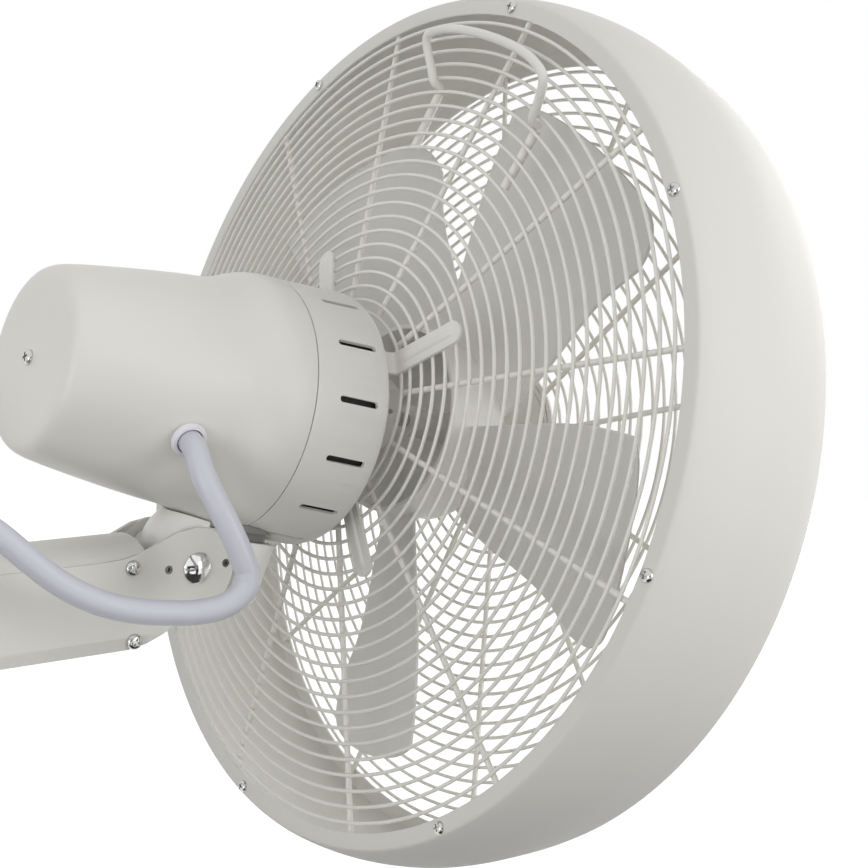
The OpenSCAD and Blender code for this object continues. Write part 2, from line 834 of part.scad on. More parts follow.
// Hub cup, open to the rear, with a domed front and a shaft boss
module hub() color("#b9b4b8") head_frame() {
  difference() {
    rotate_extrude($fn = 96)
      polygon([
        [hub_r - hub_wall, hub_back_z], [hub_r, hub_back_z], [hub_r, hub_front_z - 8],
        [hub_r - 2.2, hub_front_z - 3], [hub_r - 8, hub_front_z], [nut_r + 4, hub_front_z + 1.4],
        [0, hub_front_z + 1.4], [0, hub_back_z + 10], [9, hub_back_z + 10], [9, hub_front_z - hub_wall],
        [hub_r - 9, hub_front_z - hub_wall - 1], [hub_r - hub_wall - 2, hub_front_z - 5],
        [hub_r - hub_wall, hub_front_z - 9]]);
    translate([0, 0, hub_back_z])
      cylinder(r = shaft_r, h = 60);
  }
}

// blade surface: u runs from the front edge to the rear edge, v from the root to the tip
blade_root_r = hub_r - 1.2;
blade_phase = -1.5;
blade_front_z = [51, 53.5];
blade_rear_z = [27.6, 19.4];
blade_front_drop = 26.3;
blade_rear_drop = 4.8;
blade_nu = 10;
blade_nv = 12;
function lerp(a, b, t) = a + (b - a)*t;
function blade_front_angle(r) = -18 - 22.3*pow(max(0, (145 - r)/90), 1.9);
function blade_rear_angle(r) = 20.2 + 2.2*sin(180*(r - 55)/135);
function blade_tip(u) = blade_tip_r - (u < 0.5 ? blade_front_drop : blade_rear_drop)*pow(abs(2*u - 1), 7);
function blade_pt(u, v) =
  let (r = lerp(blade_root_r, blade_tip(u), v))
  let (a = lerp(blade_front_angle(r), blade_rear_angle(r), u))
  let (front = lerp(blade_front_z[0], blade_front_z[1], v))
  let (rear = lerp(blade_rear_z[0], blade_rear_z[1], v))
  let (z = lerp(front, rear, u) - 5*sin(180*u)*(0.4 + 0.6*v))
  [-r*sin(a), -r*cos(a), z];

function blade_points() = [
  for (side = [0, 1])
    for (j = [0:blade_nv])
      for (i = [0:blade_nu])
        blade_pt(i/blade_nu, j/blade_nv) + [0, 0, side*blade_wall]];

function bi(side, j, i) = side*(blade_nv + 1)*(blade_nu + 1) + j*(blade_nu + 1) + i;

blade_faces = concat(
  [for (j = [0:blade_nv - 1]) for (i = [0:blade_nu - 1]) for (t = [0, 1])
    t == 0 ? [bi(0, j, i), bi(0, j + 1, i), bi(0, j + 1, i + 1)] : [bi(0, j, i), bi(0, j + 1, i + 1), bi(0, j, i + 1)]],
  [for (j = [0:blade_nv - 1]) for (i = [0:blade_nu - 1]) for (t = [0, 1])
    t == 0 ? [bi(1, j, i), bi(1, j + 1, i + 1), bi(1, j + 1, i)] : [bi(1, j, i), bi(1, j, i + 1), bi(1, j + 1, i + 1)]],
  [for (j = [0:blade_nv - 1]) for (t = [0, 1])
    t == 0 ? [bi(0, j, 0), bi(1, j, 0), bi(1, j + 1, 0)] : [bi(0, j, 0), bi(1, j + 1, 0), bi(0, j + 1, 0)]],
  [for (j = [0:blade_nv - 1]) for (t = [0, 1])
    t == 0 ? [bi(0, j, blade_nu), bi(1, j + 1, blade_nu), bi(1, j, blade_nu)]
           : [bi(0, j, blade_nu), bi(0, j + 1, blade_nu), bi(1, j + 1, blade_nu)]],
  [for (i = [0:blade_nu - 1]) for (t = [0, 1])
    t == 0 ? [bi(0, 0, i), bi(1, 0, i + 1), bi(1, 0, i)] : [bi(0, 0, i), bi(0, 0, i + 1), bi(1, 0, i + 1)]],
  [for (i = [0:blade_nu - 1]) for (t = [0, 1])
    t == 0 ? [bi(0, blade_nv, i), bi(1, blade_nv, i), bi(1, blade_nv, i + 1)]
           : [bi(0, blade_nv, i), bi(1, blade_nv, i + 1), bi(0, blade_nv, i + 1)]]);

module blade(k) {
  color("#b9b7b2")
    head_frame()
      rotate([0, 0, -(blade_phase + k*360/blade_count)])
        polyhedron(points = blade_points(), faces = blade_faces, convexity = 6);
}

module blade_1() blade(0);
module blade_2() blade(1);
module blade_3() blade(2);
module blade_4() blade(3);
module blade_5() blade(4);

// Domed nut that holds the hub on the shaft
module hub_nut() color("#b5b5b3") head_frame() {
  translate([0, 0, hub_front_z + 1.4]) {
    difference() {
      union() {
        cylinder(r = nut_r, h = 5, $fn = 6);
        translate([0, 0, 5])
          cylinder(r1 = nut_r - 1, r2 = 3.4, h = 3);
      }
      translate([0, 0, -eps])
        cylinder(r = shaft_r + 0.02, h = 3);
    }
  }
}

// swept tube along a route, with rings square to the path
function vunit(v) = v/norm(v);
function tangent(path, i) =
  let (n = len(path) - 1)
  vunit(i == 0 ? path[1] - path[0] : i == n ? path[n] - path[n - 1] : path[i + 1] - path[i - 1]);
function tube_ring(path, i, r, sides, side_on) =
  let (t = tangent(path, i))
  let (a = vunit(cross(t, side_on)))
  let (b = cross(t, a))
  [for (k = [0:sides - 1]) path[i] + r*(cos(360*k/sides)*a + sin(360*k/sides)*b)];

module swept_tube(path, r, sides, side_on = [1, 0, 0.13]) {
  n = len(path);
  pts = [for (i = [0:n - 1]) for (p = tube_ring(path, i, r, sides, side_on)) p];
  sides_faces = [for (i = [0:n - 2]) for (k = [0:sides - 1]) for (t = [0, 1])
    let (k2 = (k + 1) % sides)
    t == 0 ? [i*sides + k, (i + 1)*sides + k, (i + 1)*sides + k2]
           : [i*sides + k, (i + 1)*sides + k2, i*sides + k2]];
  cap_a = [[for (k = [0:sides - 1]) k]];
  cap_b = [[for (k = [0:sides - 1]) n*sides - 1 - k]];
  polyhedron(points = pts, faces = concat(sides_faces, cap_a, cap_b), convexity = 8);
}

// Supply lead in two lengths that meet beside the knuckle
module lead_upper() color("#d3d3de") swept_tube(route_upper, lead_r, lead_sides);
module lead_lower() color("#d3d3de") swept_tube(route_lower, lead_r, lead_sides);

wall_plate();
arm_channel();
arm_cheek_left();
arm_cheek_right();
arm_hood();
arm_screws();
clamp_screws();
friction_washers();
pivot_bolt();
pivot_caps();
lead_gland();
knuckle();
swivel_shaft();
swivel_nut();
swivel_disc();
motor_casing();
rear_cover();
cover_screw();
cable_grommet();
stator();
windings();
front_shield();
rear_shield();
bearings();
capacitor();
guard_clips();
rear_guard_rings();
rear_guard_ribs();
handle();
shroud();
flange_screws();
front_guard_rings();
front_guard_ribs();
centre_badge();
motor_shaft();
rotor_core();
hub();
blade_1();
blade_2();
blade_3();
blade_4();
blade_5();
hub_nut();
lead_upper();
lead_lower();
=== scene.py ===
# %% [markdown]
# # A wall fan, finished in Blender
#
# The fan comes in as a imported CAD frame: every solid sits where it belongs and rides on its moving body.
# This script gives that frame its looks, one piece at a time. Each cell says what the real piece is, which
# ways there are to make it, and why one of them was picked. All lengths are metres unless a name says _mm.

# %% Load the frame
import math

import bmesh
import bpy
from mathutils import Matrix, Vector


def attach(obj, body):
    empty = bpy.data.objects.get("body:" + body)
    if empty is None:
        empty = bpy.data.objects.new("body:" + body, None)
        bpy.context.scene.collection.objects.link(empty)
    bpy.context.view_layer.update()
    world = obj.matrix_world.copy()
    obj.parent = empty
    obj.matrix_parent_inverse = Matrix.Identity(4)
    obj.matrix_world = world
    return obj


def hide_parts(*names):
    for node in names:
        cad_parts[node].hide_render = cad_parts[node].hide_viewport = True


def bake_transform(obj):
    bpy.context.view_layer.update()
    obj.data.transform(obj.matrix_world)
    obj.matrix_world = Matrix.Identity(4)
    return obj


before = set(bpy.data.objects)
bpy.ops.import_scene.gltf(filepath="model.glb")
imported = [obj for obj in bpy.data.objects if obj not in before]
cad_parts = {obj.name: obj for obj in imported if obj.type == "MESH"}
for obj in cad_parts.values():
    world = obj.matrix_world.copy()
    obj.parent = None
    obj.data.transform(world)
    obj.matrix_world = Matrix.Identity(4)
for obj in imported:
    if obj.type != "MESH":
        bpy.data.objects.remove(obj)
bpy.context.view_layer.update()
MM = 0.001

# %% [markdown]
# ## The camera
#
# A product shot like this one is taken from behind and a little below the top of the drum, with a short
# telephoto lens. The place of the camera was solved from the circles of the guard, so it is written as a point
# and three directions, and the lens needs no shift.

# %% Camera
camera_data = bpy.data.cameras.new("camera")
camera_data.sensor_width = 36.0
camera_data.lens = 63.58
camera_data.clip_start = 0.02
camera_at = Vector((-0.6981, 0.1750, 0.1346))
camera_back = Vector((-0.7816, 0.6177, 0.0872)).normalized()
camera_right = Vector((-0.6200, -0.7846, 0.0)).normalized()
camera_up = camera_back.cross(camera_right).normalized()
camera = bpy.data.objects.new("camera", camera_data)
camera.matrix_world = Matrix((
    (camera_right.x, camera_up.x, camera_back.x, camera_at.x),
    (camera_right.y, camera_up.y, camera_back.y, camera_at.y),
    (camera_right.z, camera_up.z, camera_back.z, camera_at.z),
    (0.0, 0.0, 0.0, 1.0)))
bpy.context.scene.collection.objects.link(camera)
bpy.context.scene.camera = camera
print("camera looks", [round(-v, 3) for v in camera_back])

# %% [markdown]
# ## The supply lead
#
# The lead is a stiff round mains cable. It leaves the casing, drops beside the knuckle and runs back over the
# arm to the wall. A curve with a bevel would do, but a lead that has to bend with two joints is easier as a
# mesh, so a ring of points is carried along a smooth path. The path is a Catmull-Rom curve through the route
# that the CAD source gives, and it is one curve for both lengths, so that they meet without a kink.

# %% Route of the lead
lead_radius = 6 * MM
lead_sides = 28
upper_route_mm = [
    (-47, -186, 70.5), (-50.8, -185.8, 68.8), (-54.5, -185.5, 67), (-58.5, -185, 65), (-62.5, -184.5, 61.5),
    (-65.5, -184.5, 56), (-69, -186, 48), (-72, -189, 39.5), (-74.5, -192.5, 31), (-76, -196, 22.5),
    (-77, -199.5, 14), (-77, -201.4, 9), (-77, -202.4, 6.8), (-77, -202.5, 5.6)]
lower_route_mm = [
    (-77, -202.6, 2.2), (-77, -202.6, 1), (-77, -202, -1.2), (-76.7, -200.6, -3.4), (-76.3, -198.3, -5.6),
    (-75.8, -195.4, -7.6), (-75.2, -191.6, -9.3), (-74.3, -186, -10.8),
    (-72, -175, -11.5), (-70.5, -165, -10.5), (-69, -154, -9), (-67, -143, -6.5), (-65, -132, -2.5),
    (-62, -121, 3.5), (-59, -111, 11), (-55.5, -101, 20.5), (-52, -91, 30.5), (-48.5, -79.5, 39.5),
    (-45, -66, 45), (-41.5, -52, 47.5), (-37.5, -38.5, 47.5), (-34, -27, 46.5), (-32.2, -17, 45.3),
    (-32, -9, 45), (-32, -1, 45)]


def smooth_path(points, steps):
    """Catmull-Rom curve through the points, with a number of steps between each two."""
    ends = [2 * points[0] - points[1]] + points + [2 * points[-1] - points[-2]]
    line = []
    for i in range(1, len(ends) - 2):
        a, b, c, d = ends[i - 1], ends[i], ends[i + 1], ends[i + 2]
        for k in range(steps):
            t = k / steps
            line.append(0.5 * (2 * b + (c - a) * t + (2 * a - 5 * b + 4 * c - d) * t**2
                               + (3 * b - a - 3 * c + d) * t**3))
    return line + [points[-1]]


lead_steps = 4
route = [Vector(p) * MM for p in upper_route_mm + lower_route_mm]
lead_line = smooth_path(route, lead_steps)
low_point = (len(upper_route_mm) - 1) * lead_steps + lead_steps // 2


# %% Tube along a path
def path_frames(line, side):
    """A side and an up direction at each point, turned as little as possible from one to the next."""
    frames = []
    for i, p in enumerate(line):
        ahead = (line[min(i + 1, len(line) - 1)] - line[max(i - 1, 0)]).normalized()
        side = (side - ahead * side.dot(ahead)).normalized()
        frames.append((p, side.copy(), ahead.cross(side)))
    return frames


def finished_mesh(bm, name, sharp):
    """The mesh, smooth but for edges that turn by more than sharp degrees."""
    mesh = bpy.data.meshes.new(name)
    bm.to_mesh(mesh)
    bm.free()
    mesh.shade_smooth()
    mesh.set_sharp_from_angle(angle=math.radians(sharp))
    return mesh


def tube_mesh(name, frames, radius, sides):
    """Closed mesh tube through the frames."""
    bm = bmesh.new()
    rings = []
    for p, a, b in frames:
        rings.append([bm.verts.new(p + radius * (math.cos(2 * math.pi * k / sides) * a
                                                 + math.sin(2 * math.pi * k / sides) * b))
                      for k in range(sides)])
    for low, high in zip(rings, rings[1:]):
        for k in range(sides):
            bm.faces.new((low[k], low[(k + 1) % sides], high[(k + 1) % sides], high[k]))
    bm.faces.new(rings[0])
    bm.faces.new(rings[-1])
    bmesh.ops.recalc_face_normals(bm, faces=bm.faces)
    return finished_mesh(bm, name, 50)


def add_piece(name, data):
    """An object in the scene for a mesh or a lamp, at the origin and unturned."""
    piece = bpy.data.objects.new(name, data)
    bpy.context.scene.collection.objects.link(piece)
    return piece


lead_frames = path_frames(lead_line, Vector((0.3, 0.2, 1.0)))
upper_frames, lower_frames = lead_frames[:low_point + 1], lead_frames[low_point:]
upper_lead = add_piece("upper_lead", tube_mesh("upper_lead", upper_frames, lead_radius, lead_sides))
lower_lead = add_piece("lower_lead", tube_mesh("lower_lead", lower_frames, lead_radius, lead_sides))
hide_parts("lead_upper")
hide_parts("lead_lower")
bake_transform(upper_lead)
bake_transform(lower_lead)

# %% [markdown]
# ## Finishes
#
# Nearly all of the fan is one satin off-white powder coat. Under a soft light such a coat shows three things:
# a broad dull highlight, a skin as fine as orange peel, and a colour that drifts by a per cent or two. Noise on
# Object coordinates gives all three, at sizes in real millimetres. One function makes every coat and plastic,
# because only their numbers differ. Polished and brushed metal get functions of their own.


# %% Material helpers
def new_material(name):
    material = bpy.data.materials.new(name)
    material.use_nodes = True
    return material, material.node_tree, material.node_tree.nodes["Principled BSDF"]


def object_noise(tree, grains_per_metre, detail=3.0, stretch=(1.0, 1.0, 1.0)):
    """Noise of a real size: grains_per_metre 1000 is a grain of about a millimetre."""
    place = tree.nodes.new("ShaderNodeTexCoord")
    mapping = tree.nodes.new("ShaderNodeMapping")
    mapping.inputs["Scale"].default_value = stretch
    noise = tree.nodes.new("ShaderNodeTexNoise")
    noise.inputs["Scale"].default_value = grains_per_metre
    noise.inputs["Detail"].default_value = detail
    tree.links.new(place.outputs["Object"], mapping.inputs["Vector"])
    tree.links.new(mapping.outputs["Vector"], noise.inputs["Vector"])
    return noise.outputs["Fac"]


def between(tree, factor, low, high):
    """Noise spread over a range of values."""
    ramp = tree.nodes.new("ShaderNodeMapRange")
    ramp.inputs["From Min"].default_value = 0.3
    ramp.inputs["From Max"].default_value = 0.7
    ramp.inputs["To Min"].default_value = low
    ramp.inputs["To Max"].default_value = high
    tree.links.new(factor, ramp.inputs["Value"])
    return ramp.outputs["Result"]


def drifting_colour(tree, factor, colour, drift):
    """The colour, a little darker and lighter from place to place."""
    mix = tree.nodes.new("ShaderNodeMix")
    mix.data_type = "RGBA"
    mix.inputs["A"].default_value = [c * (1 - drift) for c in colour] + [1]
    mix.inputs["B"].default_value = [min(1, c * (1 + drift)) for c in colour] + [1]
    tree.links.new(factor, mix.inputs["Factor"])
    return mix.outputs["Result"]


def skin_bump(tree, factor, height_mm, strength):
    """Relief too fine to model, as a tilt of the surface."""
    bump = tree.nodes.new("ShaderNodeBump")
    bump.inputs["Strength"].default_value = strength
    bump.inputs["Distance"].default_value = height_mm * MM
    tree.links.new(factor, bump.inputs["Height"])
    return bump.outputs["Normal"]


def coat(name, colour, roughness, spread=0.05, drift=0.015, patch=14.0, grain=900.0, peel_mm=0.02, peel=0.35,
         ior=1.5):
    """Paint or moulded plastic: colour drift over large patches, and a skin of fine grain."""
    material, tree, shader = new_material(name)
    patches = object_noise(tree, patch)
    skin = object_noise(tree, grain, detail=2.0)
    tree.links.new(drifting_colour(tree, patches, colour, drift), shader.inputs["Base Color"])
    tree.links.new(between(tree, patches, roughness - spread, roughness + spread), shader.inputs["Roughness"])
    tree.links.new(skin_bump(tree, skin, peel_mm, peel), shader.inputs["Normal"])
    shader.inputs["IOR"].default_value = ior
    return material


def polished(name, colour, roughness):
    """Chrome or bright zinc: a mirror with faint haze where hands and tools have been."""
    material, tree, shader = new_material(name)
    haze = object_noise(tree, 120.0)
    shader.inputs["Metallic"].default_value = 1.0
    tree.links.new(drifting_colour(tree, haze, colour, 0.04), shader.inputs["Base Color"])
    tree.links.new(between(tree, haze, roughness * 0.6, roughness * 1.5), shader.inputs["Roughness"])
    return material


def brushed(name, colour, roughness, stretch):
    """Drawn or ground metal: noise stretched along the tool's path."""
    material, tree, shader = new_material(name)
    lines = object_noise(tree, 260.0, detail=4.0, stretch=stretch)
    shader.inputs["Metallic"].default_value = 1.0
    tree.links.new(drifting_colour(tree, lines, colour, 0.08), shader.inputs["Base Color"])
    tree.links.new(between(tree, lines, roughness - 0.08, roughness + 0.12), shader.inputs["Roughness"])
    tree.links.new(skin_bump(tree, lines, 0.01, 0.3), shader.inputs["Normal"])
    return material


# %% The finishes of this fan
casing_coat = coat("casing_coat", (0.745, 0.735, 0.690), 0.40)
drum_coat = coat("drum_coat", (0.735, 0.725, 0.685), 0.50, patch=8.0, ior=1.3)
arm_coat = coat("arm_coat", (0.745, 0.738, 0.695), 0.42)
# Painted light: the knuckle has the arm's paint, drawn lighter than the arm to stand in for the brighter light it
# catches.
knuckle_coat_painted_light = coat("knuckle_coat_painted_light", (0.930, 0.925, 0.905), 0.36)
wire_coat = coat("wire_coat", (0.800, 0.788, 0.735), 0.34, patch=30.0, grain=700.0, peel=0.25)
clip_coat = coat("clip_coat", (0.765, 0.755, 0.710), 0.38, patch=40.0)
blade_moulding = coat("blade_moulding", (0.705, 0.690, 0.665), 0.46, patch=20.0, grain=1400.0, peel=0.2)
hub_moulding = coat("hub_moulding", (0.880, 0.865, 0.845), 0.42, patch=26.0, grain=1400.0)
# Dark grey, painted shade: the swivel disc stands for the shaded gap between the knuckle's neck and the casing.
disc_painted_shade = coat("disc_painted_shade", (0.235, 0.232, 0.225), 0.38, patch=60.0)
washer_moulding = coat("washer_moulding", (0.80, 0.80, 0.78), 0.30, patch=60.0)
lead_sheath = coat("lead_sheath", (0.600, 0.610, 0.670), 0.36, spread=0.04, drift=0.02, patch=60.0, grain=1500.0,
                   peel_mm=0.015, peel=0.3)
collar_moulding = coat("collar_moulding", (0.80, 0.79, 0.83), 0.36, patch=60.0)
nose_casting = coat("nose_casting", (0.790, 0.780, 0.740), 0.50, patch=60.0, grain=600.0, peel=0.5)
board_moulding = coat("board_moulding", (0.78, 0.78, 0.74), 0.40, patch=50.0)
winding_enamel = coat("winding_enamel", (0.45, 0.19, 0.07), 0.30, drift=0.10, patch=400.0, grain=900.0, peel=0.8)
core_plate = brushed("core_plate", (0.16, 0.16, 0.155), 0.50, (1.0, 1.0, 8.0))
chrome_plate = polished("chrome_plate", (0.80, 0.80, 0.80), 0.13)
zinc_plate = polished("zinc_plate", (0.60, 0.60, 0.585), 0.20)
dark_steel = polished("dark_steel", (0.13, 0.13, 0.13), 0.35)
# Near black, painted shade: a sleeve of it inside the slotted ring stands for the shade behind the slots.
slot_painted_shade = coat("slot_painted_shade", (0.022, 0.022, 0.024), 0.70, patch=60.0)
ground_steel = brushed("ground_steel", (0.62, 0.62, 0.61), 0.30, (1.0, 6.0, 1.0))
print("finishes:", len(bpy.data.materials))


# %% Dress a piece
def dress(piece, body, nodes, material):
    """One finish, one body, and the CAD nodes that the piece stands for."""
    piece.data.materials.clear()
    piece.data.materials.append(material)
    if nodes:
        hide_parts(*nodes)
    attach(piece, body)
    print(piece.name, "rides on", body, "with", len(piece.data.polygons), "faces")
    return piece


for lead in (upper_lead, lower_lead):
    lead.data.materials.append(lead_sheath)

# %% [markdown]
# ## The place of the head
#
# The head is drawn square to the fan's own axis: x is the world's X, y is up, z points where the fan blows, and
# zero is the middle of the drum's rear flange. A single matrix then tips it down as the real head hangs. Angles
# round the axis run from straight down towards the side where the camera stands.

# %% Head frame
pivot_out = 205 * MM
axis_rise = 97.6 * MM
pivot_back = 108.4 * MM
head_tilt = math.radians(12.8)
head_place = (Matrix.Translation((0, -pivot_out, 0)) @ Matrix.Rotation(math.pi / 2 + head_tilt, 4, "X")
              @ Matrix.Translation((0, axis_rise, pivot_back)))
casing_drop = 10 * MM
casing_place = head_place @ Matrix.Translation((0, -casing_drop, 0))
print("middle of the rear flange:", [round(v, 4) for v in head_place.translation])


def at_angle(degrees):
    """Turns x to an angle round the axis, counted from straight down."""
    return Matrix.Rotation(math.radians(-90 - degrees), 4, "Z")


# %% Turned pieces
def lathe_mesh(name, profile_mm, segments, place=head_place):
    """A closed outline of (radius, height) turned about the axis."""
    bm = bmesh.new()
    columns = []
    for k in range(segments):
        turn = 2 * math.pi * k / segments
        columns.append([bm.verts.new((r * MM * math.cos(turn), r * MM * math.sin(turn), z * MM))
                        for r, z in profile_mm])
    count = len(profile_mm)
    for k in range(segments):
        here, there = columns[k], columns[(k + 1) % segments]
        for i in range(count):
            j = (i + 1) % count
            bm.faces.new((here[i], there[i], there[j], here[j]))
    bmesh.ops.remove_doubles(bm, verts=bm.verts, dist=1e-7)
    bmesh.ops.dissolve_degenerate(bm, edges=bm.edges, dist=1e-7)
    bmesh.ops.recalc_face_normals(bm, faces=bm.faces)
    bm.transform(place)
    return finished_mesh(bm, name, 32)


def spline(points, steps=4):
    """Round curve through a few (radius, height) points."""
    line = smooth_path([Vector((r, z, 0)) for r, z in points], steps)
    return [(p.x, p.y) for p in line]


# %% [markdown]
# ## Copies of CAD nodes
#
# A CAD node arrives as loose triangles with hard corners. Where its shape is right, a copy has its doubles
# merged and its flat parts joined, and a small bevel then catches the light along each edge as a real pressed
# or cast edge does.


# %% Softened copy
def round_edges(piece, width_mm, sharp):
    """A live bevel on every edge that turns by more than sharp degrees."""
    bevel = piece.modifiers.new("edge", "BEVEL")
    bevel.width = width_mm * MM
    bevel.segments = 2
    bevel.limit_method = "ANGLE"
    bevel.angle_limit = math.radians(sharp)
    return bevel


def softened_copy(node, name, edge_mm, sharp=32.0):
    bm = bmesh.new()
    bm.from_mesh(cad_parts[node].data)
    bmesh.ops.remove_doubles(bm, verts=bm.verts, dist=2e-6)
    bmesh.ops.dissolve_limit(bm, angle_limit=math.radians(0.6), verts=bm.verts, edges=bm.edges)
    piece = add_piece(name, finished_mesh(bm, name, sharp))
    round_edges(piece, edge_mm, sharp).harden_normals = True
    return piece


# %% [markdown]
# ## Repeats
#
# Rings, ribs, blades, clips and screws all repeat, and two small Geometry Nodes trees make them. One sets a
# stack of wire rings on a shallow cone, the other copies any mesh round the axis. Their inputs carry the sizes
# by name, and the result is turned into a plain mesh, because an exporter drops instances.


# %% Node tree helpers
def new_tree(name, inputs):
    """An empty tree that takes and gives geometry, with its own named inputs."""
    tree = bpy.data.node_groups.new(name, "GeometryNodeTree")
    tree.interface.new_socket("Geometry", in_out="INPUT", socket_type="NodeSocketGeometry")
    for label, kind in inputs:
        tree.interface.new_socket(label, in_out="INPUT", socket_type=kind)
    tree.interface.new_socket("Geometry", in_out="OUTPUT", socket_type="NodeSocketGeometry")
    return tree, tree.nodes.new("NodeGroupInput"), tree.nodes.new("NodeGroupOutput")


def maths(tree, operation, a, b=None, c=None):
    """A Math node. Each value is a number or another node's output."""
    node = tree.nodes.new("ShaderNodeMath")
    node.operation = operation
    for socket, value in zip(node.inputs, (a, b, c)):
        if value is None:
            continue
        if isinstance(value, (int, float)):
            socket.default_value = value
        else:
            tree.links.new(value, socket)
    return node.outputs[0]


def finish_tree(tree, geometry, material, output, smooth=True):
    """Every tree ends the same way: real geometry with its material on."""
    realize = tree.nodes.new("GeometryNodeRealizeInstances")
    tree.links.new(geometry, realize.inputs[0])
    last = realize.outputs[0]
    if smooth:
        shade = tree.nodes.new("GeometryNodeSetShadeSmooth")
        tree.links.new(last, shade.inputs[0])
        last = shade.outputs[0]
    paint = tree.nodes.new("GeometryNodeSetMaterial")
    paint.inputs["Material"].default_value = material
    tree.links.new(last, paint.inputs["Geometry"])
    tree.links.new(paint.outputs[0], output.inputs[0])


def evaluated_mesh(piece, name):
    """What the piece's modifiers make, as a plain mesh. The piece itself goes."""
    graph = bpy.context.evaluated_depsgraph_get()
    mesh = bpy.data.meshes.new_from_object(piece.evaluated_get(graph))
    mesh.name = name
    bpy.data.objects.remove(piece)
    return mesh


def run_tree(name, base_mesh, tree, values):
    """Runs the tree on a mesh and returns the result as a plain mesh in its place on the head."""
    holder = add_piece(name, base_mesh)
    modifier = holder.modifiers.new("repeat", "NODES")
    modifier.node_group = tree
    for item in tree.interface.items_tree:
        if item.in_out == "INPUT" and item.name in values:
            modifier[item.identifier] = values[item.name]
    mesh = evaluated_mesh(holder, name)
    mesh.transform(head_place)
    return mesh


# %% Tree for a stack of rings
def ring_tree(material):
    tree, given, output = new_tree("wire_rings", [
        ("Rings", "NodeSocketInt"), ("Outer radius", "NodeSocketFloat"), ("Step", "NodeSocketFloat"),
        ("Inner radius", "NodeSocketFloat"), ("Edge height", "NodeSocketFloat"), ("Cone", "NodeSocketFloat"),
        ("Wire", "NodeSocketFloat"), ("Corners", "NodeSocketInt")])
    line = tree.nodes.new("GeometryNodeMeshLine")
    line.inputs["Offset"].default_value = (0, 0, 0)
    tree.links.new(given.outputs["Rings"], line.inputs["Count"])
    index = tree.nodes.new("GeometryNodeInputIndex").outputs[0]
    stepped = maths(tree, "SUBTRACT", given.outputs["Outer radius"],
                    maths(tree, "MULTIPLY", index, given.outputs["Step"]))
    last = maths(tree, "COMPARE", index, maths(tree, "SUBTRACT", given.outputs["Rings"], 1.0), 0.1)
    change = maths(tree, "SUBTRACT", given.outputs["Inner radius"], stepped)
    radius = maths(tree, "ADD", stepped, maths(tree, "MULTIPLY", last, change))
    inset = maths(tree, "SUBTRACT", given.outputs["Outer radius"], radius)
    height = maths(tree, "ADD", given.outputs["Edge height"], maths(tree, "MULTIPLY", inset, given.outputs["Cone"]))
    lift = tree.nodes.new("ShaderNodeCombineXYZ")
    tree.links.new(height, lift.inputs["Z"])
    raise_points = tree.nodes.new("GeometryNodeSetPosition")
    tree.links.new(line.outputs[0], raise_points.inputs["Geometry"])
    tree.links.new(lift.outputs[0], raise_points.inputs["Offset"])
    circle = tree.nodes.new("GeometryNodeCurvePrimitiveCircle")
    circle.inputs["Radius"].default_value = 1.0
    tree.links.new(given.outputs["Corners"], circle.inputs["Resolution"])
    size = tree.nodes.new("ShaderNodeCombineXYZ")
    for axis in ("X", "Y"):
        tree.links.new(radius, size.inputs[axis])
    size.inputs["Z"].default_value = 1.0
    copies = tree.nodes.new("GeometryNodeInstanceOnPoints")
    tree.links.new(raise_points.outputs[0], copies.inputs["Points"])
    tree.links.new(circle.outputs[0], copies.inputs["Instance"])
    tree.links.new(size.outputs[0], copies.inputs["Scale"])
    realize = tree.nodes.new("GeometryNodeRealizeInstances")
    tree.links.new(copies.outputs[0], realize.inputs[0])
    section = tree.nodes.new("GeometryNodeCurvePrimitiveCircle")
    section.inputs["Resolution"].default_value = 10
    tree.links.new(maths(tree, "MULTIPLY", given.outputs["Wire"], 0.5), section.inputs["Radius"])
    wire = tree.nodes.new("GeometryNodeCurveToMesh")
    tree.links.new(realize.outputs[0], wire.inputs["Curve"])
    tree.links.new(section.outputs[0], wire.inputs["Profile Curve"])
    finish_tree(tree, wire.outputs[0], material, output)
    return tree


# %% Tree for copies round the axis
def round_tree(name, material):
    tree, given, output = new_tree(name, [("Count", "NodeSocketInt"), ("Phase", "NodeSocketFloat")])
    line = tree.nodes.new("GeometryNodeMeshLine")
    line.inputs["Offset"].default_value = (0, 0, 0)
    tree.links.new(given.outputs["Count"], line.inputs["Count"])
    index = tree.nodes.new("GeometryNodeInputIndex").outputs[0]
    pitch = maths(tree, "DIVIDE", 2 * math.pi, given.outputs["Count"])
    turn = maths(tree, "SUBTRACT", maths(tree, "MULTIPLY", given.outputs["Phase"], -1.0),
                 maths(tree, "MULTIPLY", index, pitch))
    euler = tree.nodes.new("ShaderNodeCombineXYZ")
    tree.links.new(turn, euler.inputs["Z"])
    copies = tree.nodes.new("GeometryNodeInstanceOnPoints")
    tree.links.new(line.outputs[0], copies.inputs["Points"])
    tree.links.new(given.outputs["Geometry"], copies.inputs["Instance"])
    tree.links.new(euler.outputs[0], copies.inputs["Rotation"])
    finish_tree(tree, copies.outputs[0], material, output, smooth=False)
    return tree


# %% [markdown]
# ## Wire guards
#
# Each guard is 22 rings of thin wire, welded to 12 thicker ribs on their inner side. The rings come from the
# ring tree. A rib is a straight rod that lies along the cone, so one is drawn as a tube and copied round.

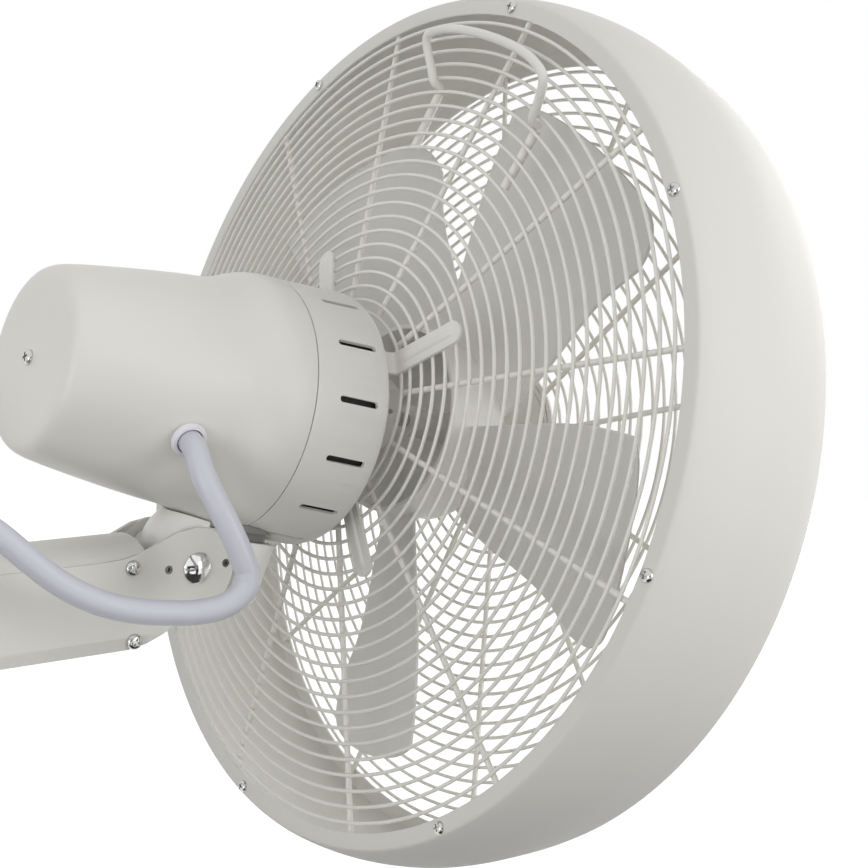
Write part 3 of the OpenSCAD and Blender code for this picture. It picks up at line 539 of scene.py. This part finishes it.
# %% Guard rings
ring_wire = 2.0 * MM
rib_wire = 3.2 * MM
ring_count = 22
ring_corners = 180
rings_of_wire = ring_tree(wire_coat)
empty_mesh = bpy.data.meshes.new("start")
rear_edge = {"Rings": ring_count, "Outer radius": 224.6 * MM, "Step": 8.22 * MM, "Inner radius": 54 * MM,
             "Edge height": -0.2 * MM, "Cone": -0.131, "Wire": ring_wire, "Corners": ring_corners}
front_edge = {"Rings": ring_count, "Outer radius": 226.1 * MM, "Step": 8.35 * MM, "Inner radius": 52.4 * MM,
              "Edge height": 91.4 * MM, "Cone": 0.031, "Wire": ring_wire, "Corners": ring_corners}
rear_rings = add_piece("rear_rings", run_tree("rear_rings", empty_mesh.copy(), rings_of_wire, rear_edge))
front_rings = add_piece("front_rings", run_tree("front_rings", empty_mesh.copy(), rings_of_wire, front_edge))
dress(rear_rings, "head", ["rear_guard_rings"], wire_coat)
dress(front_rings, "head", ["front_guard_rings"], wire_coat)

# %% Guard ribs
weld = 0.2 * MM
rib_lift = ring_wire / 2 + rib_wire / 2 - weld
rib_out = 232 * MM
rib_angle = 11


def phase(angle):
    """Phase for the round tree that puts the first copy at an angle from straight down."""
    return math.radians(90 + angle)


def cone_height(edge, radius):
    """Height of a guard's rings at a radius."""
    return edge["Edge height"] + edge["Cone"] * (edge["Outer radius"] - radius)


def straight_rod(name, start, end, steps, side, radius):
    line = [start.lerp(end, k / steps) for k in range(steps + 1)]
    return tube_mesh(name, path_frames(line, side), radius, 16)


def rib_mesh(edge, inner, side):
    ends = [Vector((r, 0, cone_height(edge, r) + side * rib_lift)) for r in (inner, rib_out)]
    return straight_rod("rib", *ends, 24, Vector((0, 1, 0)), rib_wire / 2)


round_wire = round_tree("copies_round", wire_coat)
rib_turn = {"Count": 12, "Phase": phase(rib_angle)}
rear_rib = rib_mesh(rear_edge, 52.5 * MM, 1)
front_rib = rib_mesh(front_edge, 43.5 * MM, -1)
rear_ribs = add_piece("rear_ribs", run_tree("rear_ribs", rear_rib, round_wire, rib_turn))
front_ribs = add_piece("front_ribs", run_tree("front_ribs", front_rib, round_wire, rib_turn))
dress(rear_ribs, "head", ["rear_guard_ribs"], wire_coat)
dress(front_ribs, "head", ["front_guard_ribs"], wire_coat)

# %% [markdown]
# ## The drum
#
# The drum between the guards is one spun sheet: a flat rear flange, a belly that swells quickly and falls off
# slowly, and a narrow front flange. A lathe is the obvious tool. Its outline is a spline through the few radii
# that matter, turned in 240 steps so that the rim stays round, and the inside is the same line set in by the
# thickness of the sheet.

# %% Drum
flange_in = 229.5
sheet = 1.2
belly = spline([(238.8, 0.8), (240.6, 4.5), (243, 12), (245.2, 21), (246.8, 32), (247.4, 42), (247.2, 50),
                (246.4, 58), (245.2, 66), (243.7, 75), (242.2, 83), (240.1, 91.1)])
inner_belly = spline([(238.7, 90.6), (241.0, 82.6), (242.5, 74.8), (244.0, 65.8), (245.2, 57.8), (246.0, 49.8),
                      (246.2, 42), (245.6, 32), (244.0, 21.2), (241.8, 12.4), (239.4, 5), (237.8, 1.8)])
drum_outline = ([(flange_in + 0.4, 0.0), (237.4, 0.0), (238.1, 0.2)] + belly
                + [(239.9, 91.6), (239.3, 91.9), (flange_in, 91.9), (flange_in, 90.7)] + inner_belly
                + [(237.0, sheet), (flange_in, sheet), (flange_in, 0.4)])
drum = add_piece("drum", lathe_mesh("drum", drum_outline, 240))
dress(drum, "head", ["shroud"], drum_coat)

# %% [markdown]
# ## Screws
#
# The screws are bright zinc pan heads with a cross recess. A head is a lathe with its recess cut by a cross of
# two bars, and each place gets a copy. They are small in the picture, but the recess gives them their dark
# spot, which a plain dome lacks.


# %% Screw head
def pan_head(name, radius_mm, height_mm, cross_mm, shank_mm, length_mm):
    """Pan head on the plane z = 0 that looks along +z, with its shank below. cross_mm is the recess's width."""
    r, h = radius_mm, height_mm
    outline = [(0, h), (r * 0.35, h), (r * 0.62, h * 0.94), (r * 0.84, h * 0.76), (r * 0.96, h * 0.45), (r, h * 0.12),
               (r, 0), (shank_mm, 0), (shank_mm, -length_mm), (0, -length_mm)]
    head = add_piece(name, lathe_mesh(name, outline, 28, place=Matrix.Identity(4)))
    cutter_bm = bmesh.new()
    wing = cross_mm * 0.26
    for size, lift in (((cross_mm, wing, h), 0.0), ((wing, cross_mm, h), 1e-6)):  # the lift keeps their tops apart
        bar = bmesh.ops.create_cube(cutter_bm, size=1.0)["verts"]
        bmesh.ops.scale(cutter_bm, vec=Vector(size) * MM, verts=bar)
        bmesh.ops.translate(cutter_bm, vec=(0, 0, h * 0.92 * MM + lift), verts=bar)
    cutter_mesh = bpy.data.meshes.new("cross")
    cutter_bm.to_mesh(cutter_mesh)
    cutter_bm.free()
    cutter = add_piece("cross", cutter_mesh)
    cut = head.modifiers.new("cut", "BOOLEAN")
    cut.operation = "DIFFERENCE"
    cut.solver = "EXACT"
    cut.use_self = True
    cut.object = cutter
    mesh = evaluated_mesh(head, name)
    bpy.data.objects.remove(cutter)
    mesh.shade_smooth()
    mesh.set_sharp_from_angle(angle=math.radians(35))
    return mesh


def joined_mesh(name, parts):
    """One mesh of (mesh, place) pairs."""
    bm = bmesh.new()
    for part, place in parts:
        copy = part.copy()
        copy.transform(place)
        bm.from_mesh(copy)
        bpy.data.meshes.remove(copy)
    mesh = bpy.data.meshes.new(name)
    bm.to_mesh(mesh)
    bm.free()
    return mesh


# %% Screws of the rear flange
flange_screw_r = 234.6 * MM
flange_screw_angle = 30
flange_head = pan_head("flange_head", 3.5, 2.2, 4.0, 1.6, 5.5)
flange_head.transform(Matrix.Translation((flange_screw_r, 0, 0)) @ Matrix.Rotation(math.pi, 4, "X"))
round_zinc = round_tree("screws_round", zinc_plate)
rim_screws = add_piece("rim_screws", run_tree(
    "rim_screws", flange_head, round_zinc, {"Count": 8, "Phase": phase(flange_screw_angle)}))
dress(rim_screws, "head", ["flange_screws"], zinc_plate)

# %% Screws of the arm and of the cover
arm_half = 25.5 * MM
arm_screw_out = 168.9 * MM
cover_back = 206.2
arm_head = pan_head("arm_head", 4.0, 2.2, 4.4, 1.95, 8.0)
arm_places = []
for side in (-1, 1):
    for height_mm, twist in ((3.9, 20), (-32.6, 65)):
        arm_places.append((arm_head, Matrix.Translation((side * arm_half, -arm_screw_out, height_mm * MM))
                           @ Matrix.Rotation(side * math.pi / 2, 4, "Y")
                           @ Matrix.Rotation(math.radians(twist), 4, "Z")))
cheek_screws = add_piece("cheek_screws", joined_mesh("cheek_screws", arm_places))
dress(cheek_screws, "arm", ["arm_screws"], zinc_plate)
cover_head = pan_head("cover_head", 4.0, 2.4, 4.6, 1.75, 14.0)
cover_head.transform(casing_place @ Matrix.Translation((0, 0, -cover_back * MM))
                     @ Matrix.Rotation(math.pi, 4, "X") @ Matrix.Rotation(math.radians(20), 4, "Z"))
back_screw = add_piece("back_screw", cover_head)
dress(back_screw, "head", ["cover_screw"], zinc_plate)

# %% [markdown]
# ## Motor casing and rear cover
#
# The cover is a deep drawn cup with a soft flare before the joint. Lathed through a spline it has the unbroken
# shine of pressed sheet, which a faceted cone would lose. The ring ahead of it carries the cooling slots: those
# are real holes in the CAD node, so a softened copy of it keeps them.

# %% Rear cover
cover_outside = ([(0, -cover_back), (20, -cover_back), (37.0, -cover_back)]
                 + spline([(40.5, -206.0), (43.6, -205.0), (46.0, -202.6), (47.8, -198.2), (49.2, -192)])
                 + spline([(50, -188), (52, -176.5), (54, -164.5), (56, -151), (57.8, -138), (58.8, -129),
                           (59.7, -122.5), (61.1, -116.5), (63.2, -111), (65.4, -106), (67.0, -101), (67.95, -95.5),
                           (68.3, -90)]))
cover_outline = cover_outside + [(68.3, -85.0), (67.9, -84.5), (65.9, -84.4), (65.9, -91), (65, -99), (62.5, -106),
                                 (59.5, -113), (57.4, -121), (56.4, -128), (54, -148), (50, -174), (45.2, -196),
                                 (38, -203), (0, -203.4)]
back_cover = add_piece("back_cover", lathe_mesh("back_cover", cover_outline, 160, place=casing_place))
dress(back_cover, "head", ["rear_cover"], casing_coat)

# %% Ring with the slots
slotted_ring = softened_copy("motor_casing", "slotted_ring", 0.25, sharp=30)
dress(slotted_ring, "head", ["motor_casing"], casing_coat)

# %% [markdown]
# Behind its slots the real casing looks black: the motor and its varnished paper stand close behind them and leave
# them in deep shade.
# Modelling that crowd would cost much for five dark dashes. A thin black sleeve inside the ring paints that
# shade, the same from every side, and its lathe is four points long.

# %% Painted shade behind the slots
shade_sleeve = add_piece("slot_shade_sleeve", lathe_mesh("slot_shade_sleeve", [
    (65.6, -80.0), (65.6, -46.0), (65.2, -46.0), (65.2, -80.0)], 120, place=casing_place))
dress(shade_sleeve, "head", [], slot_painted_shade)

# %% [markdown]
# The lead leaves the cover through a moulded collar. It is a plain turned ring with a groove for the sheet, so
# the CAD node has all of it, and a copy with softened edges is enough.

# %% Collar of the lead
lead_collar = softened_copy("cable_grommet", "lead_collar", 0.4, sharp=30)
dress(lead_collar, "head", ["cable_grommet"], collar_moulding)

# %% [markdown]
# ## Guard clips
#
# Four pressed clips rise from the front shield and lie straight along the back of the inner rings. Each is a
# strip with a raised rib down its middle and a round end. The strip is drawn as a grid, wide and thin, whose
# middle columns are lifted to make the rib, and the tree for round copies puts the four in place.

# %% Clips
clip_tip = 100.0
clip_straight_end = 90.0
clip_half_width = 6.25
clip_round = 5.5
clip_angle = 27.4
clip_line = smooth_path([Vector(p) for p in (
    (42.5, 0, -37.3), (47, 0, -37.3), (51, 0, -36.9), (52.6, 0, -34.5), (52.6, 0, -29.0), (53.6, 0, -25.9),
    (57, 0, -24.6), (68, 0, -23.15), (79, 0, -21.7), (clip_straight_end, 0, -20.3))], 4)
for k in range(1, 11):
    reach = math.sin(math.radians(k * 9))
    clip_line.append(Vector((clip_straight_end + (clip_tip - clip_straight_end) * reach, 0, -20.3 + 1.36 * reach)))
clip_rise = [(-1.0, 0.0), (-0.9, 0.12), (-0.36, 0.16), (-0.26, 0.7), (-0.16, 1.0), (0.16, 1.0), (0.26, 0.7),
             (0.36, 0.16), (0.9, 0.12), (1.0, 0.0)]


def clip_mesh():
    """The strip along clip_line, clip_rise across it, narrowed to a round end."""
    bm = bmesh.new()
    columns = []
    last = len(clip_line) - 1
    for i, p in enumerate(clip_line):
        ahead = (clip_line[min(i + 1, last)] - clip_line[max(i - 1, 0)]).normalized()
        out = Vector((ahead.z, 0, -ahead.x))
        to_end = min(1.0, (clip_tip - p.x) / clip_round)
        width = max(0.6, clip_half_width * math.sqrt(max(0.0, 1 - (1 - to_end) ** 2)))
        rib = min(1.0, max(0.0, (clip_tip - 4 - p.x) / 3)) * min(1.0, max(0.0, (p.x - 57) / 4))
        top = [bm.verts.new(p + Vector((0, s * width, 0)) + out * (0.85 + h * (0.15 + 1.1 * rib)))
               for s, h in clip_rise]
        low = [bm.verts.new(p + Vector((0, s * width, 0)) - out) for s, h in reversed(clip_rise)]
        columns.append(top + low)
    for a, b in zip(columns, columns[1:]):
        for k in range(len(a)):
            j = (k + 1) % len(a)
            bm.faces.new((a[k], a[j], b[j], b[k]))
    bm.faces.new(columns[0])
    bm.faces.new(columns[-1])
    bmesh.ops.recalc_face_normals(bm, faces=bm.faces)
    bm.transform(Matrix.Scale(MM, 4))
    return finished_mesh(bm, "clip", 38)


round_clip = round_tree("clips_round", clip_coat)
clip_turn = {"Count": 4, "Phase": phase(clip_angle)}
clips = add_piece("clips", run_tree("clips", clip_mesh(), round_clip, clip_turn))
dress(clips, "head", ["guard_clips"], clip_coat)

# %% [markdown]
# ## Carrying handle
#
# The handle is bent wire: two feet lie under the rings, and a loop drops between two rings and stands off behind
# the guard. Half of the loop is listed, mirrored, and rounded by the same curve that the lead uses.

# %% Handle
handle_radius = 2.5
handle_leg = [(180.2, 46.7, -1.9), (181.2, 47, -4.45), (182.2, 47.3, -7), (184.5, 48.3, -8.9), (188, 50, -10.2),
              (193.4, 52.6, -12.6), (197, 54.2, -14.4), (200.5, 55.3, -16.1), (203.2, 55.2, -17.3),
              (205.3, 53.9, -18), (206.8, 51.6, -18.3), (208.2, 48.4, -18.4), (209.5, 44.6, -18.4),
              (210.8, 40.5, -18.4), (212.4, 32, -18.4), (213.6, 22.4, -18.3), (214.3, 11, -18.3)]
handle_clearance = 0.05
handle_angle = 161.5
handle_place = head_place @ at_angle(handle_angle)


def handle_foot(side):
    """Straight foot under the rings, at the ring's height plus both wires' radii."""
    ends = []
    for u, w in ((144.5, 44.6), (177.5, 46.5)):
        seat = (cone_height(rear_edge, math.hypot(u, w) * MM) + ring_wire / 2
                + (handle_radius + handle_clearance) * MM)
        ends.append(Vector((u * MM, side * w * MM, seat)))
    return straight_rod("foot", *ends, 8, Vector((0.3, 0.2, 1.0)), handle_radius * MM)


loop_points = ([Vector((u, -w, z)) for u, w, z in handle_leg] + [Vector((214.5, 0, -18.3))]
               + [Vector((u, w, z)) for u, w, z in reversed(handle_leg)])
loop_line = [p * MM for p in smooth_path(loop_points, 4)]
loop_mesh = tube_mesh("loop", path_frames(loop_line, Vector((0, 0, 1))), handle_radius * MM, 16)
grip_wire = add_piece("grip_wire", joined_mesh("grip_wire", [
    (loop_mesh, handle_place), (handle_foot(-1), handle_place), (handle_foot(1), handle_place)]))
dress(grip_wire, "head", ["handle"], wire_coat)

# %% [markdown]
# ## Blades and hub
#
# Five broad moulded blades sweep from a hub cup. A blade's surface follows a rule: at each radius it runs from
# a front edge to a rear edge, each at its own angle and depth, with a slight belly between. So the rule itself
# is the model, sampled finely, and the round tree sets five copies.

# %% Blade surface
blade_tip_r = 190.0
blade_root_r = 52.8
blade_front_z = (51.0, 53.5)
blade_rear_z = (27.6, 19.4)
blade_front_drop = 26.3
blade_rear_drop = 4.8
blade_wall = 2.2
blade_belly = 5.0
blade_turn = {"Count": 5, "Phase": math.radians(-1.5)}


def blend_values(a, b, t):
    return a + (b - a) * t


def blade_front_angle(r):
    return -18 - 22.3 * max(0.0, (145 - r) / 90) ** 1.9


def blade_rear_angle(r):
    return 20.2 + 2.2 * math.sin(math.pi * (r - 55) / 135)


def blade_point(u, v):
    """u runs from the front edge to the rear edge, v from the root to the tip."""
    drop = blade_front_drop if u < 0.5 else blade_rear_drop
    r = blend_values(blade_root_r, blade_tip_r - drop * abs(2 * u - 1)**7, v)
    a = math.radians(blend_values(blade_front_angle(r), blade_rear_angle(r), u))
    front, rear = blend_values(*blade_front_z, v), blend_values(*blade_rear_z, v)
    z = blend_values(front, rear, u) - blade_belly * math.sin(math.pi * u) * (0.4 + 0.6 * v)
    return Vector((-r * math.sin(a), -r * math.cos(a), z))


def blade_mesh(across=36, along=40):
    """Two sheets of blade_point, a wall apart, closed round their rim."""
    bm = bmesh.new()
    sides = []
    for lift in (0.0, blade_wall):
        sides.append([[bm.verts.new(blade_point(i / across, j / along) + Vector((0, 0, lift)))
                       for i in range(across + 1)] for j in range(along + 1)])
    low, high = sides
    for j in range(along):
        for i in range(across):
            bm.faces.new((low[j][i], low[j + 1][i], low[j + 1][i + 1], low[j][i + 1]))
            bm.faces.new((high[j][i], high[j][i + 1], high[j + 1][i + 1], high[j + 1][i]))
    for i in range(across):
        bm.faces.new((low[0][i], low[0][i + 1], high[0][i + 1], high[0][i]))
        bm.faces.new((low[along][i], high[along][i], high[along][i + 1], low[along][i + 1]))
    for j in range(along):
        bm.faces.new((low[j][0], high[j][0], high[j + 1][0], low[j + 1][0]))
        bm.faces.new((low[j][across], low[j + 1][across], high[j + 1][across], high[j][across]))
    bmesh.ops.recalc_face_normals(bm, faces=bm.faces)
    bm.transform(Matrix.Scale(MM, 4))
    return finished_mesh(bm, "blade", 40)


round_blade = round_tree("blades_round", blade_moulding)
blades = add_piece("blades", run_tree("blades", blade_mesh(), round_blade, blade_turn))
dress(blades, "rotor", ["blade_1", "blade_2", "blade_3", "blade_4", "blade_5"], blade_moulding)
round_edges(blades, 0.7, 45)

# %% Hub
hub_cup = softened_copy("hub", "hub_cup", 0.5, sharp=30)
dress(hub_cup, "rotor", ["hub"], hub_moulding)

# %% [markdown]
# ## Arm, knuckle and wall plate
#
# The arm is a folded sheet with bevelled cheeks and a crowned hood, and the knuckle is a casting between the
# cheeks. Their CAD solids have the right shape, so they get soft edges and paint.

# %% Painted sheet and castings
for node, name, body, edge_mm in (
        ("wall_plate", "back_plate", "arm", 0.8), ("arm_channel", "inner_channel", "arm", 0.5),
        ("arm_cheek_left", "cheek_a", "arm", 0.6), ("arm_cheek_right", "cheek_b", "arm", 0.6),
        ("arm_hood", "arm_crown", "arm", 0.5)):
    dress(softened_copy(node, name, edge_mm), body, [node], arm_coat)
# The knuckle's paint is drawn lighter than the arm's: painted light for the brighter light that falls on it.
dress(softened_copy("knuckle", "tilt_knuckle", 0.6), "knuckle", ["knuckle"], knuckle_coat_painted_light)

# %% [markdown]
# The front rings end on a round moulded plate. Two shallow grooves run near its edge on the back. A texture
# could draw them, but it would vanish as soon as the plate is seen from its edge, and a lathe outline gives them
# for a few points more.

# %% Plate in the middle of the front guard
plate_outline = [(0, 96.6), (38.6, 96.6), (38.6, 97.4), (40.0, 97.4), (40.0, 96.6), (41.8, 96.6), (41.8, 97.6),
                 (42.8, 97.6), (42.8, 96.6), (43.4, 96.6), (45, 97.4), (45, 98.6), (44, 99.4), (41, 100.2),
                 (30, 101.0), (0, 101.6)]
front_plate = add_piece("front_plate", lathe_mesh("front_plate", plate_outline, 120))
dress(front_plate, "head", ["centre_badge"], casing_coat)

# %% [markdown]
# ## Small parts
#
# Caps, washers, disc, gland and motor nose are turned or moulded parts. Their CAD solids hold every step and
# groove, so each piece is a softened copy, and only the finish tells them apart: chrome, plastic or cast metal.
# The disc's dark grey is painted shade, for the shaded gap between the knuckle's neck and the casing.

# %% Chrome, washers and small parts
dress(softened_copy("pivot_caps", "chrome_caps", 0.3), "arm", ["pivot_caps"], chrome_plate)
dress(softened_copy("friction_washers", "slip_washers", 0.2), "arm", ["friction_washers"], washer_moulding)
# The disc's dark grey is painted shade for the gap under the casing.
dress(softened_copy("swivel_disc", "turning_disc", 0.5), "head", ["swivel_disc"], disc_painted_shade)
dress(softened_copy("lead_gland", "wall_gland", 0.4), "arm", ["lead_gland"], collar_moulding)
dress(softened_copy("front_shield", "motor_nose", 0.4), "head", ["front_shield"], nose_casting)

# %% [markdown]
# ## Inside pieces
#
# Shafts, bearings, stator and windings are shut in, and the two clamp screws beside the pivot are only dark
# spots. A softened copy of such pieces would never be seen. They keep their CAD mesh and get the finish of the
# real part, for whoever takes the fan apart.

# %% Pieces that keep their CAD mesh
kept_nodes = {
    "clamp_screws": dark_steel, "pivot_bolt": ground_steel, "swivel_shaft": ground_steel,
    "swivel_nut": zinc_plate, "stator": core_plate, "windings": winding_enamel, "rear_shield": nose_casting,
    "bearings": ground_steel, "capacitor": board_moulding, "motor_shaft": ground_steel, "rotor_core": core_plate,
    "hub_nut": zinc_plate}
for node, material in kept_nodes.items():
    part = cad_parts[node]
    if not part.material_slots:
        part.data.materials.append(material)
    for held in part.material_slots:
        held.material = material
print("pieces that keep their CAD mesh:", len(kept_nodes))

# %% [markdown]
# ## Light and background
#
# The photograph is a high-key product shot: pure white behind, and soft pale light from nearly all sides. The
# white comes from what the camera and mirrors see of the world and the floor. The light that falls on the fan
# is kept at a plain level, so that a colour renders about as it is written. The world gives most of it, a
# little less from above, and four soft boxes model the drum and the arm.


# %% White that only the camera and mirrors see
def seen_by_lens(tree):
    """1 for rays from the camera, off a mirror or through glass, 0 for the light that falls on things."""
    rays = tree.nodes.new("ShaderNodeLightPath")
    either = tree.nodes.new("ShaderNodeMath")
    either.operation = "MAXIMUM"
    tree.links.new(rays.outputs["Is Camera Ray"], either.inputs[0])
    tree.links.new(rays.outputs["Is Glossy Ray"], either.inputs[1])
    all_three = tree.nodes.new("ShaderNodeMath")
    all_three.operation = "MAXIMUM"
    tree.links.new(either.outputs[0], all_three.inputs[0])
    tree.links.new(rays.outputs["Is Transmission Ray"], all_three.inputs[1])
    return all_three.outputs[0]


world = bpy.data.worlds.new("studio")
bpy.context.scene.world = world
world.use_nodes = True
sky = world.node_tree
backdrop = sky.nodes["Background"]
backdrop.inputs["Color"].default_value = (1.0, 1.0, 1.0, 1.0)
fill_sides = 0.84
fill_above = 0.60
direction = sky.nodes.new("ShaderNodeTexCoord")
height = sky.nodes.new("ShaderNodeSeparateXYZ")
sky.links.new(direction.outputs["Generated"], height.inputs["Vector"])
fill = sky.nodes.new("ShaderNodeMapRange")
fill.inputs["To Min"].default_value = fill_sides
fill.inputs["To Max"].default_value = fill_above
sky.links.new(height.outputs["Z"], fill.inputs["Value"])
level = sky.nodes.new("ShaderNodeMapRange")
level.inputs["To Max"].default_value = 1.0
sky.links.new(fill.outputs["Result"], level.inputs["To Min"])
sky.links.new(seen_by_lens(sky), level.inputs["Value"])
sky.links.new(level.outputs["Result"], backdrop.inputs["Strength"])

# %% Floor
def staged_card(name, corners, grey, roughness):
    """A four-cornered surface of the studio, and what sets the strength of its glow."""
    material, tree, shader = new_material(name)
    shader.inputs["Base Color"].default_value = (grey, grey, grey, 1)
    shader.inputs["Roughness"].default_value = roughness
    shader.inputs["Emission Color"].default_value = (1, 1, 1, 1)
    card_mesh = bpy.data.meshes.new(name)
    card_mesh.from_pydata(corners, [], [(0, 1, 2, 3)])
    card_mesh.materials.append(material)
    card = add_piece(name, card_mesh)
    return card, tree, shader.inputs["Emission Strength"]


floor_height = -1.3
floor_reach = 9
floor_corners = [(x * floor_reach, y * floor_reach, floor_height) for x, y in ((-1, -1), (1, -1), (1, 1), (-1, 1))]
floor, floor_tree, floor_glow = staged_card("floor", floor_corners, 0.12, 0.9)
floor_tree.links.new(seen_by_lens(floor_tree), floor_glow)


# %% Lamps
def soft_box(name, at, towards, size, watts):
    lamp = bpy.data.lights.new(name, "AREA")
    lamp.shape = "RECTANGLE"
    lamp.size, lamp.size_y = size
    lamp.energy = watts
    holder = add_piece(name, lamp)
    holder.location = at
    holder.rotation_euler = (Vector(towards) - Vector(at)).to_track_quat("-Z", "Y").to_euler()
    print("soft box", name, "of", watts, "W")


soft_box("front_left", (-1.5, -1.2, 0.25), (0.0, -0.35, 0.05), (1.2, 1.0), 10)
soft_box("into_drum", (0.3, -1.9, 0.1), (0.0, -0.35, 0.0), (1.3, 1.3), 13)
soft_box("low_side", (-1.5, 0.25, -0.45), (0.0, -0.1, 0.1), (0.8, 0.8), 2.5)
soft_box("from_wall_side", (-0.8, 1.5, 0.05), (-0.05, -0.15, 0.0), (0.9, 0.7), 6.5)


# %% [markdown]
# Chrome has no look of its own: it shows the room, and in an all-white room it could be white plastic.
# Photographers hang black cards outside the picture, so that its edge draws dark. Two planes do that here. They
# are black to glossy rays alone, and to paint and plastic they give about the light that they stand in front of.


# %% Dark cards for the polished metal
def dark_card(name, corners, daylight):
    """A card that chrome and zinc see as black. daylight is the light it gives to paint and plastic."""
    card, tree, glow = staged_card(name, corners, 0.02, 0.8)
    card.visible_camera = False
    card.visible_shadow = False
    rays = tree.nodes.new("ShaderNodeLightPath")
    level = tree.nodes.new("ShaderNodeMapRange")
    level.inputs["To Min"].default_value = daylight
    level.inputs["To Max"].default_value = 0.0
    tree.links.new(rays.outputs["Is Glossy Ray"], level.inputs["Value"])
    tree.links.new(level.outputs["Result"], glow)


dark_card("card_side", [(-1.8, -0.6, -1.2), (-1.8, 1.6, -1.2), (-1.8, 1.6, 0.35), (-1.8, -0.6, 0.35)], 0.4)
dark_card("card_low", [(-1.8, -1.5, -1.2), (-0.1, -1.5, -1.2), (-0.1, 1.6, -1.2), (-1.8, 1.6, -1.2)], 0.06)

# %% Finish
bpy.context.scene.view_settings.view_transform = "Standard"
